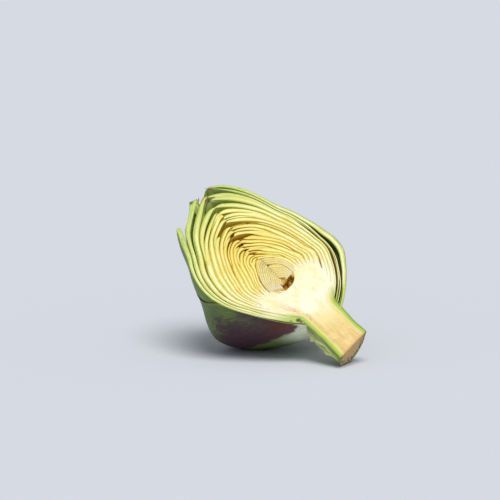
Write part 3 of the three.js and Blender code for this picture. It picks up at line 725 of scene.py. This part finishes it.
def leaf_piece(number, e):
    b, G = e["b"], e["G"]
    i, f, ut = b["i"], b["f"], b["ut"]
    met = metric(G, UU)
    # thickness: swell to fill the room under the next leaf
    gapmm = (0.08 + 0.22 * rnd(i, 7) ** 2) * np.interp(UU, [0, 0.1, 0.3, 0.6, 0.85, 1], [0.0, 0.1, 0.5, 0.7, 1.1, 1.9])
    avail = e["N"] - G - gapmm / met
    room = np.where(e["N"] > 5, 1.0, 0.0)
    thin = np.maximum(b["T"] * (1 - 0.72 * np.clip(e["v"], -1, 1) ** 2)
                      * np.interp(np.clip(UU / ut, 0, 1), [0, 0.12, 0.4, 0.85, 1], [0.60, 0.66, 0.92, 0.62, 0.3]), 0.3 / met)
    most = (np.interp(np.clip(UU / ut, 0, 1), [0, 0.1, 0.35, 0.6, 0.8, 1], [3.0, 3.0, 4.4, 4.6, 5.6, 5.0])
            * (1 - 0.3 * np.clip(e["v"], -1, 1) ** 2)) / met
    if i == 45:
        most = most * 1.6
    if i in KEEP_THIN:
        k = smooth(UU, 0.5, 0.7)
        most = KEEP_THIN[i] * e["T"] * (1 - k) + most * k
    Tv = np.where(room > 0, thin + e["extra"], np.clip(avail, 0.7 * thin, np.maximum(most, 0.7 * thin)))
    Tv = blur(Tv, 0.8, 0.8)
    if i == 55:
        # it clings to the leaves under it, at its margins and its tip most of all
        near = blur(e["under"], 1.2, 1.0) + (0.05 - 0.8 * smooth(UU / ut, 0.72, 0.92) - 0.4 * smooth(np.abs(e["v"]), 0.6, 0.9)) / met
        cling = np.clip(np.maximum(smooth(np.abs(e["v"]), 0.35, 0.8), smooth(UU / ut, 0.55, 0.85)), 0, 1) * smooth(UU, 0.05, 0.2)
        G = G + (np.minimum(near, G) - G) * blur(cling, 2.0, 1.5)
    b = dict(b, ut=tip_reach(i, f, ut))
    ut = b["ut"]

    th0 = b["th"] + (2 * PI if b["th"] < -PI / 2 else 0)

    def span(u):
        w = half_width(b, u)
        if i == 50:
            # its free tip is rounded
            w = w * np.sqrt(np.clip((ut + 0.001 - u) / 0.03, 0.0, 1.0))
        return np.clip(th0 - w, 0, PI), np.clip(th0 + w, 0, PI)
    # last row with any width
    probe = np.linspace(0, min(ut, 1.0), 600)
    l, r = span(probe)
    rr = np.maximum(prof(b["sn"] + 0.02, probe)[0], 0.3)
    ok = ((r - l) * rr > 0.12) | ((probe > 0.9) & (r - l > 0.35))
    end = int(np.argmin(ok)) if not ok.all() else len(probe)
    u1 = probe[max(end - 1, 1)]
    NR = 64
    wide = ((r - l) * rr)[:end].max()
    NC = int(np.clip(round(wide / 1.9), 8, 56))
    tau = np.linspace(0, 1, NR + 1)
    us = -0.035 + (u1 + 0.035) * (1 - (1 - tau) ** 1.7)
    l, r = span(np.clip(us, 0, 1))
    cc = np.linspace(0, 1, NC + 1)
    th = l[:, None] + (r - l)[:, None] * cc[None, :]
    u = np.repeat(us[:, None], NC + 1, 1)
    hw = half_width(b, np.clip(us, 0, 1))[:, None]
    v = wrap(th - b["th"]) / np.maximum(hw, 1e-6)
    g = spline(G, th, u)
    tk = spline(Tv, th, u)
    m2 = metric(g, np.clip(u, 0, 1))
    va = np.clip(np.abs(v), 0, 1)
    tt = np.clip(u / ut, 0, 1)
    edge = np.sqrt(np.clip(1 - va ** 7, 0, 1)) * np.sqrt(np.clip(1 - tt ** {50: 6, 54: 10}.get(i, 14), 0.0, 1))
    # the thinning at margins and tip is taken from both faces
    g = g + tk * (1 - edge) * (0.8 if i in THICKER else 0.4)
    tk = np.maximum(tk * edge, 0.07 / m2)
    if i == 55:
        tk = tk * (1 - 0.6 * np.maximum(smooth(va, 0.6, 0.95), smooth(tt, 0.75, 1.0)))
        tk = np.maximum(tk, 0.18 / m2)
    # organic swell and lifted margins
    outer_leaf = smooth(f, 0.7, 0.95)
    sw = wave(th, u, i, 20) * (0.10 + 0.22 * outer_leaf) * smooth(u, 0.05, 0.4)
    if (e["N"].min() > 5 or f > 0.9) and i != 55:
        sw = sw + 0.5 * outer_leaf * smooth(va, 0.7, 1.0) * smooth(tt, 0.3, 0.8)
    g = g + sw / m2

    pole = (rnd(i, 12) - 0.5) * 1.6 if f < 0.8 else 0.0

    def surf(level, uu, thh, cutoff, w=0.0):
        rr_, hh_ = prof(level, uu)
        close = smooth(uu, 0.90, 1.0) * (0.0 if i == 50 else 1.0)
        rr_ = np.maximum(rr_ - prof(level, 1.0)[0] * close, 0.0)
        kr = float(smooth(f, 0.66, 0.84))
        rho = (1.2 + 2.2 * np.clip(level, 0, 1)) * (1 - kr) + 0.7 * kr
        hh_ = hh_ - 0.7 * (np.sqrt(rr_ ** 2 + rho ** 2) - rr_) * smooth(uu, 0.6, 0.85)
        k = inward(level, uu)
        less, off = askew(level, uu)
        cs = np.cos(thh)
        if i in (50, 53):
            off = off * (1 - w * (1 - cs) / 2)
        side = rr_ * cs * (1 - less * (1 + cs) / 2) - SHIFT * k + off + pole * smooth(uu, 0.75, 1.0)
        if i == 50:
            rise = smooth(uu, 0.87, 0.957)
            side = side + 1.3 * rise
            hh_ = hh_ + 1.5 * rise
        up = -rr_ * np.sin(thh) * depth(hh_)
        up = np.minimum(up, -cutoff - 0.3 * np.clip(np.sin(thh) / 0.3, 0, 1))
        a = -(hh_ + LEAN * side * k)
        P = world(a, side, up)
        P[..., 2] = np.maximum(P[..., 2], 0.0)
        return P
    # the knife left each leaf's edge at its own depth
    base_cut = 0.08 + 0.20 * rnd(i, 8)
    cut = base_cut + 0.10 * wave(u * 3, u * 4, i, 30) * smooth(u, 0.0, 0.2)
    cut = np.maximum(cut, 0.08) * (0.05 + 0.95 * smooth(u, 0.02, 0.2))
    crest = 0.15 * np.clip(tk * m2, 0.3, 3.2) * (0.1 + 0.9 * smooth(u, 0.02, 0.22))
    Pin = surf(g, u, th, cut + crest)
    Pout = surf(g + tk, u, th, cut + crest, 1.0)
    nr, nc = NR + 1, NC + 1
    n = nr * nc
    idI = np.arange(n).reshape(nr, nc); idO = idI + n
    co = [Pin.reshape(-1, 3), Pout.reshape(-1, 3)]
    aw = [np.zeros(n), np.ones(n)]
    at = [tt.ravel(), tt.ravel()]
    av = [v.ravel(), v.ravel()]
    across = (v * hw * np.maximum(prof(b["sn"] + 0.03, np.clip(u, 0, 1))[0], 2.0))
    along = (u * 120)
    auv = [np.stack([across, along], -1).reshape(-1, 2)] * 2
    faces = [grid_faces(idO), grid_faces(idI, True)]
    mi = [np.zeros(len(faces[0])), np.zeros(len(faces[1]))]
    base = 2 * n
    # cut edges: K strips through the thickness, a little domed
    K = 6
    for c, clampv in ((0, 0.0), (NC, PI)):
        ws = np.linspace(0, 1, K + 1)
        is_cut = np.abs(th[:, c] - clampv) < 1e-6
        cols = [idI[:, c]]
        for q in range(1, K):
            dome = crest[:, c] * (2 * ws[q] - 1) ** 2
            Pm = surf(g[:, c] + tk[:, c] * ws[q], u[:, c], th[:, c], np.where(is_cut, cut[:, c] + dome, 0.0), ws[q])
            co.append(Pm); aw.append(np.full(nr, ws[q])); at.append(tt[:, c]); av.append(v[:, c])
            auv.append(np.stack([np.full(nr, across[0, c] * 0 + ws[q] * 2.0 + i * 7.3), along[:, c]], -1))
            cols.append(base + np.arange(nr)); base += nr
        cols.append(idO[:, c])
        ids = np.stack(cols, 1)
        q4 = grid_faces(ids, flip=(c != 0))
        faces.append(q4)
        mi.append(np.repeat(np.where(is_cut[:-1] & is_cut[1:], 1, 0), K))
    # root and tip walls
    for rrow, flip in ((0, True), (NR, False)):
        q4 = grid_faces(np.stack([idI[rrow], idO[rrow]], 1), flip=flip)
        faces.append(q4[:, ::-1]); mi.append(np.zeros(len(q4)))
    # a small spine on the tip
    thc = th0
    aflat = None
    if f > 0.8 and 0.02 < thc < PI - 0.02:
        ue = u1
        ge = float(spline(G, np.array([thc]), np.array([ue]))[0]) + 0.1 / float(metric(b["sn"] + 0.03, ue))
        p0 = surf(np.array([ge]), np.array([ue - 0.004]), np.array([thc]), np.array([0.3]))[0]
        p1 = surf(np.array([ge]), np.array([min(ue + 0.012, 1.0)]), np.array([thc]), np.array([0.3]))[0]
        p2 = surf(np.array([ge + 0.03]), np.array([ue]), np.array([thc]), np.array([0.3]))[0]
        d = p1 - p0; d /= np.linalg.norm(d) + 1e-9
        o = p2 - p0; o -= d * (o @ d); o /= np.linalg.norm(o) + 1e-9
        s2 = np.cross(d, o)
        ln = 1.6 + 1.4 * rnd(i, 40); R0 = 0.55
        ringn = 8; rings = []
        for a_, rad in ((-0.8, R0 * 0.9), (0.0, R0), (0.35, R0 * 0.72), (0.7, R0 * 0.38), (0.93, R0 * 0.14)):
            cen = p0 + d * ln * a_ + o * (0.25 * max(a_, 0) ** 2 * ln)
            an = np.arange(ringn) * 2 * PI / ringn
            ring = cen + (np.cos(an)[:, None] * o * rad * 0.7 + np.sin(an)[:, None] * s2 * rad)
            ring[:, 2] = np.maximum(ring[:, 2], 0.0)
            co.append(ring); rings.append(base + np.arange(ringn)); base += ringn
            aw.append(np.ones(ringn)); at.append(np.full(ringn, max(a_, 0.0))); av.append(np.zeros(ringn)); auv.append(np.zeros((ringn, 2)))
        tip = p0 + d * ln + o * 0.28 * ln
        tip[2] = max(tip[2], 0.0)
        co.append(tip[None]); aw.append([1.0]); at.append([1.0]); av.append([0.0]); auv.append(np.zeros((1, 2)))
        tid = base; base += 1
        R = np.stack([np.append(x, x[0]) for x in rings])
        q4 = grid_faces(R, True); faces.append(q4); mi.append(np.full(len(q4), 2))
        last = rings[-1]
        t3 = np.stack([np.roll(last, -1), last, np.full(ringn, tid)], 1)[:, ::-1]
        faces.append(t3); mi.append(np.full(len(t3), 2))
    co = np.concatenate(co); nv = len(co)
    aw = np.concatenate(aw); at = np.concatenate(at); av = np.concatenate(av); auv = np.concatenate(auv)
    # purple on the belly leaf, strongest low on its flank
    rel = (co - AXIS_END)
    ha = rel @ E_A; hb = rel @ E_B; hn = rel @ E_N
    if i == 55:
        low = -9.0 - 1.28 * (-33.6 - ha)
        across = 0.6217 * ha + 0.7783 * hb + 0.0885 * hn
        p = smooth(across, -94.0, -64.0) * (1 - 0.75 * smooth(hn, -15, -5) * smooth(across, -60, -74)) * smooth(ha, -28.5, -31.5) * smooth(hn - low, -4.5, 3.0) * smooth(hn, -52, -40)
        red = smooth(ha, -50, -36) * smooth(hn, -18, -4)
        # the neck mask: where the leaf's whitish base gets its painted light
        neck = smooth(ha, -40, -27)
        cloud = np.exp(-((ha + 55) / 9) ** 2 - ((hn + 5) / 7) ** 2)
    elif f > 0.9:
        p = 0.35 * smooth(at, 0.45, 0.05) * smooth(hn, -5, -20); red = np.zeros(nv)
    else:
        p = np.zeros(nv); red = np.zeros(nv)
    if i != 55:
        neck = np.zeros(nv); cloud = np.zeros(nv)
    attrs = dict(f=np.full(nv, f), t=at, v=av, w=aw, p=p, red=red, neck=neck, cloud=cloud, k=np.full(nv, rnd(i, 50)))
    ob = make_mesh("bract_%02d_leaf" % number, co, faces, [SKIN, FLESH, SPINE], np.concatenate(mi), attrs, auv + np.array([[i * 37.7, i * 11.3]]))
    node = "bract_%02d" % number
    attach(ob, "root"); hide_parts(node)
    return ob


entries = stack()
for number, e in enumerate(reversed(entries), start=1):
    leaf_piece(number, e)


# ------------------------------------------------------------------ heart and stem
def slant(side, h):
    """The stem was cut off a little askew."""
    return SLANT * side * (1 - smooth(h, 0.0, 16.0))


def heart_piece():
    S = [(0.0, 55.6, 1.0), (3.5, 55.8, 1.0), (7.0, 57.5, 1.0)]
    for k in range(15):
        s = k / 14; r, h = prof(s, 0.0); S.append((float(r), float(h), float(inward(s, 0.0))))
    S += [(13.0, 27.0, 0.0), (12.4, 20.0, 0.0), (12.1, 13.0, 0.0), (12.5, 5.0, 0.0), (12.8, 0.0, 0.0)]
    S = np.array(S)
    d = np.concatenate([[0], np.cumsum(np.hypot(*np.diff(S[:, :2], axis=0).T))])
    # Catmull-Rom through the section
    tab = np.linspace(0, d[-1], 150)
    out = []
    for c in range(3):
        T = np.stack([d, S[:, c]], 1)
        out.append(hermite(T, tab, 1))
    sec = np.stack(out, 1)
    sec[0, 0] = 0.0; sec[:, 0] = np.maximum(sec[:, 0], 0)
    n = len(sec); N = 72
    th = np.linspace(0, PI, N + 1)
    r = sec[:, 0][:, None]; h = sec[:, 1][:, None]; k = sec[:, 2][:, None]
    stem = smooth(h, 33, 20)
    # faint ribs on the stem and scars where leaves were pulled
    ribs = (np.cos(th * 11 + 0.5) * 0.22 + np.cos(th * 7 + h * 0.04 + 1.1) * 0.28) * stem * np.sin(th) ** 0.3
    scar = 0
    for (hs, ts, amp, sh_, st_) in ((14, 2.70, 2.6, 7.5, 0.22), (17, 2.95, 1.1, 2.2, 0.16), (21, 2.62, 1.4, 1.8, 0.14), (9, 2.74, 1.0, 1.5, 0.12), (15, 2.52, -1.0, 1.6, 0.12), (11, 2.86, -0.7, 1.8, 0.12), (22, 2.6, 0.9, 2.0, 0.3), (14, 1.2, 0.8, 2.0, 0.35), (20, 0.4, 0.8, 2.2, 0.3), (9, 0.9, 0.5, 1.4, 0.3)):
        scar = scar + amp * np.exp(-((h - hs) / sh_) ** 2 - ((th[None, :] - ts) / st_) ** 2)
    R = r + ribs + scar * smooth(r, 6, 11)
    side = R * np.cos(th)[None, :] - SHIFT * k
    up = -R * np.sin(th)[None, :] * DEPTH
    a = -(h + LEAN * side * k + slant(side, h))
    end_wob = 0
    P = world(a + end_wob, side, up); P[..., 2] = np.maximum(P[..., 2], 0.0)
    ids = np.arange(n * (N + 1)).reshape(n, N + 1)
    co = [P.reshape(-1, 3)]
    hh = np.repeat(h, N + 1, 1); q0 = np.ones_like(hh)
    ah = [hh.ravel() / 62.0]; aq = [q0.ravel()]
    auv = [np.stack([np.repeat(th[None, :], n, 0) * 12.2, hh], -1).reshape(-1, 2)]
    faces = [grid_faces(ids)]; mi = [np.zeros(len(faces[0]))]
    base = n * (N + 1)
    # cut face: every station joined to its own point on the axis
    M = 22
    hc = np.interp(np.arange(n), [0, 10, 30, n - 1], [55.6, 52.0, 42.0, 0.0])
    hc = np.minimum(hc, 55.6)
    # along the stem the stations go straight across
    hc = np.where(sec[:, 1] < 30, sec[:, 1], hc)
    lowstart = np.argmax(sec[:, 1] < 30)
    hc[:lowstart] = np.interp(np.arange(lowstart), [0, lowstart - 1], [55.6, sec[lowstart, 1] + 0.4])
    x = np.linspace(-1, 1, 2 * M + 1)
    rs = np.abs(x)
    rr = sec[:, 0][:, None] * rs[None, :]
    hz = hc[:, None] + (sec[:, 1] - hc)[:, None] * rs[None, :]
    kk = sec[:, 2][:, None] * rs[None, :] ** 0.7
    Rl = R[:, 0][:, None]; Rr = R[:, -1][:, None]
    rad = np.where(x[None, :] > 0, Rl, Rr) * rs[None, :]
    side = rad * np.sign(x)[None, :] - SHIFT * kk
    a = -(hz + LEAN * side * kk + slant(side, hz))
    up = np.zeros_like(side)
    # gentle unevenness of the cut, none at its edge
    up = -0.12 * (np.sin(hz * 0.7 + x[None, :] * 9) * 0.5 + 0.5) * (1 - rs[None, :] ** 6)
    asd = np.zeros(sum(len(c) for c in co)); asd = np.concatenate([asd, np.repeat(x[None, :], n, 0).ravel()])
    P = world(a, side, up)
    ci = base + np.arange(n * (2 * M + 1)).reshape(n, 2 * M + 1)
    co.append(P.reshape(-1, 3)); ah.append(hz.ravel() / 62.0); aq.append(np.repeat(rs[None, :], n, 0).ravel())
    auv.append(np.stack([side, hz], -1).reshape(-1, 2))
    qf = grid_faces(ci)
    faces.append(qf); mi.append(np.ones(len(qf)))
    base += n * (2 * M + 1)
    # stem end: half disc
    K = 14
    rs = np.linspace(0, 1, K + 1)[:, None]
    Re = R[-1][None, :]
    side = Re * rs * np.cos(th)[None, :]; up = -Re * rs * np.sin(th)[None, :] * DEPTH
    a = 0.15 * np.sin(side * 1.3) * np.cos(up * 1.1) * (1 - rs ** 4) - slant(side, 0.0)
    P = world(a, side, up); P[..., 2] = np.maximum(P[..., 2], 0.0)
    ei = base + np.arange((K + 1) * (N + 1)).reshape(K + 1, N + 1)
    co.append(P.reshape(-1, 3)); ah.append(np.zeros((K + 1) * (N + 1))); aq.append(np.repeat(rs, N + 1, 1).ravel())
    auv.append(np.stack([side, up], -1).reshape(-1, 2))
    qf = grid_faces(ei, True)
    faces.append(qf); mi.append(np.full(len(qf), 2))
    co = np.concatenate(co); nv = len(co)
    asd = np.concatenate([asd, np.zeros(nv - len(asd))])
    attrs = dict(h=np.concatenate(ah), q=np.concatenate(aq), side=asd)
    ob = make_mesh("heart_and_stem_body", co, faces, [STEM_SKIN, HEART_CUT, STEM_END], np.concatenate(mi), attrs, np.concatenate(auv))
    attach(ob, "root"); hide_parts("heart_and_stem")
    return ob


heart_piece()


# ------------------------------------------------------------------ choke: nested young florets over the hollow
def choke_piece():
    co, faces, mi, at, aw, af, auv = [], [], [], [], [], [], []
    base = 0

    def floor(r):
        return np.interp(r, [0, 3.5, 7, 10.5], [55.6, 55.8, 57.5, 61.3])
    shells = np.arange(0.96, 0.15, -0.085)
    for j, lam in enumerate(shells):
        step = 0.085
        # a ring of petals round the kept half
        r_mid = 11 * lam
        petals = max(2, int(round(PI * r_mid / 5.5)))
        shift0 = rnd(j, 61) * 0.8
        edges = np.linspace(-0.15, 1.15, petals + 2) + (shift0 - 0.4) / petals
        for q in range(petals + 1):
            l = 0.0 if q == 0 else max(edges[q] * PI, 0.0)
            r = PI if q == petals else min(edges[q + 1] * PI, PI)
            if r - l < 0.06:
                continue
            NRr, NCc = 18, max(3, int((r - l) * r_mid / 1.1))
            u = np.linspace(0, 1, NRr + 1)[:, None]
            top = 1.0 if (l <= 0 or r >= PI) else 0.92 + 0.08 * rnd(j * 17 + q, 62)
            uu = u * top
            cc = np.linspace(0, 1, NCc + 1)[None, :]
            mid, half = (l + r) / 2, (r - l) / 2
            narrow = np.where(u < 0.7, 1.0, np.sqrt(np.clip(1 - ((u - 0.7) / 0.3) ** 2, 0, 1)) * 0.9 + 0.1)
            cutl, cutr = l <= 0, r >= PI
            thl = l if cutl else mid - half * narrow * 0.98
            thr = r if cutr else mid + half * narrow * 0.98
            th = thl + (thr - thl) * cc + 0 * u
            uu = uu + 0 * th
            pr, ph = prof(0.0, uu)

            def shell(lm):
                rr = np.maximum(pr * lm - 0.6 * lm * smooth(uu, 0.85, 1.0), 0.0)
                hh = 58.5 + (ph - 58.5) * (lm * 0.92 + 0.08)
                e = np.clip(1 - uu / 0.28, 0, 1) ** 2
                fl = floor(rr)
                low = np.where(lm > 0.5 + 0.22 * np.cos(th), fl - 0.6, np.maximum(fl, 61.0))
                return rr, hh * (1 - e) + low * e
            wob = 0.010 * np.sin(th * 5 + uu * 7 + j * 2.1) * (1 - uu)
            tmm = step * 1.0
            P = []
            for lm in (lam + wob, lam + wob + tmm):
                rr, hh = shell(lm)
                k = inward(0.0, uu)
                less, off = askew(0.0, uu)
                side = rr * np.cos(th) * (1 - less * (1 + np.cos(th)) / 2) - SHIFT * k + off; up = -rr * np.sin(th) * depth(hh)
                hh = hh - 0.45 * (np.sqrt(rr ** 2 + 0.8) - rr) * smooth(uu, 0.6, 0.9)
                up = np.minimum(up, -(0.06 + 0.12 * rnd(j, 64) + 0.4 * np.clip(np.sin(th) / 0.3, 0, 1)))
                a = -(hh + LEAN * side * k)
                P.append(world(a, side, up))
            n = (NRr + 1) * (NCc + 1)
            idI = base + np.arange(n).reshape(NRr + 1, NCc + 1); idO = idI + n
            base += 2 * n
            co += [P[0].reshape(-1, 3), P[1].reshape(-1, 3)]
            aw += [np.zeros(n), np.ones(n)]; at += [uu.ravel()] * 2; af += [np.full(n, lam)] * 2
            uvv = np.stack([th * r_mid + j * 5.1, uu * 25], -1).reshape(-1, 2)
            auv += [uvv, uvv]
            for q4 in (grid_faces(idO), grid_faces(idI, True),
                       grid_faces(np.stack([idI[:, 0], idO[:, 0]], 1)), grid_faces(np.stack([idI[:, -1], idO[:, -1]], 1), True),
                       grid_faces(np.stack([idI[0], idO[0]], 1), True), grid_faces(np.stack([idI[-1], idO[-1]], 1))):
                faces.append(q4)
    co = np.concatenate(co)
    ob = make_mesh("choke_florets", co, faces, [CHOKE], None,
                   dict(t=np.concatenate(at), w=np.concatenate(aw), f=np.concatenate(af)), np.concatenate(auv))
    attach(ob, "root"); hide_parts("choke")
    return ob


choke_piece()


# ------------------------------------------------------------------ floor, light, camera
def floor_and_light():
    me = bpy.data.meshes.new("floor")
    s = 14.0
    me.from_pydata([(-s, -s, 0), (s, -s, 0), (s, s, 0), (-s, s, 0)], [], [(0, 1, 2, 3)])
    ob = bpy.data.objects.new("floor", me)
    bpy.context.scene.collection.objects.link(ob)
    m = Nodes("floor_paper")
    m.bsdf.inputs["Base Color"].default_value = (0.647, 0.668, 0.740, 1)
    m.bsdf.inputs["Roughness"].default_value = 0.95
    m.bsdf.inputs["Specular IOR Level"].default_value = 0.1
    me.materials.append(m.mat)

    wd = bpy.data.worlds.new("studio")
    bpy.context.scene.world = wd
    wd.use_nodes = True
    wd.node_tree.nodes["Background"].inputs["Color"].default_value = (0.93, 0.96, 1.0, 1)
    wd.node_tree.nodes["Background"].inputs["Strength"].default_value = 0.405

    def sun(name, direction, strength, angle, colour):
        d = bpy.data.lights.new(name, "SUN")
        d.energy = strength; d.angle = angle * RAD; d.color = colour
        o = bpy.data.objects.new(name, d)
        bpy.context.scene.collection.objects.link(o)
        o.rotation_mode = "QUATERNION"
        o.rotation_quaternion = Vector(direction).to_track_quat("Z", "Y")
        o.location = Vector(direction) * 2
    sun("key", tuple(KEY_DIR), 2.24, 38, (1.0, 0.985, 0.955))


CAM_R = .6217 * E_A + .7783 * E_B + .0885 * E_N
CAM_U = -.6135 * E_A + .4138 * E_B + .6726 * E_N
CAM_V = np.cross(CAM_R, CAM_U)
CAM_V /= np.linalg.norm(CAM_V)
CAM_U = np.cross(CAM_V, CAM_R); CAM_U /= np.linalg.norm(CAM_U)
CAM_R = np.cross(CAM_U, CAM_V)
KEY_DIR = 0.62 * np.array([0, 0, 1.0]) + 0.55 * E_N + 0.10 * CAM_R


def camera():
    target = AXIS_END - 90.68 * E_A - 3.66 * E_B + 0.25 * CAM_R - 0.25 * CAM_U
    D = 4000.0
    eye = (target + CAM_V * D) / 1000
    cd = bpy.data.cameras.new("camera")
    cd.sensor_width = 36
    cd.lens = 36 * D / (500 / 1.735)
    cd.clip_start, cd.clip_end = 0.05, 60
    o = bpy.data.objects.new("camera", cd)
    bpy.context.scene.collection.objects.link(o)
    m = Matrix.Identity(4)
    for r in range(3):
        m[r][0], m[r][1], m[r][2], m[r][3] = CAM_R[r], CAM_U[r], CAM_V[r], eye[r]
    o.matrix_world = m
    bpy.context.scene.camera = o


camera()
floor_and_light()
bpy.context.scene.view_settings.view_transform = "Standard"
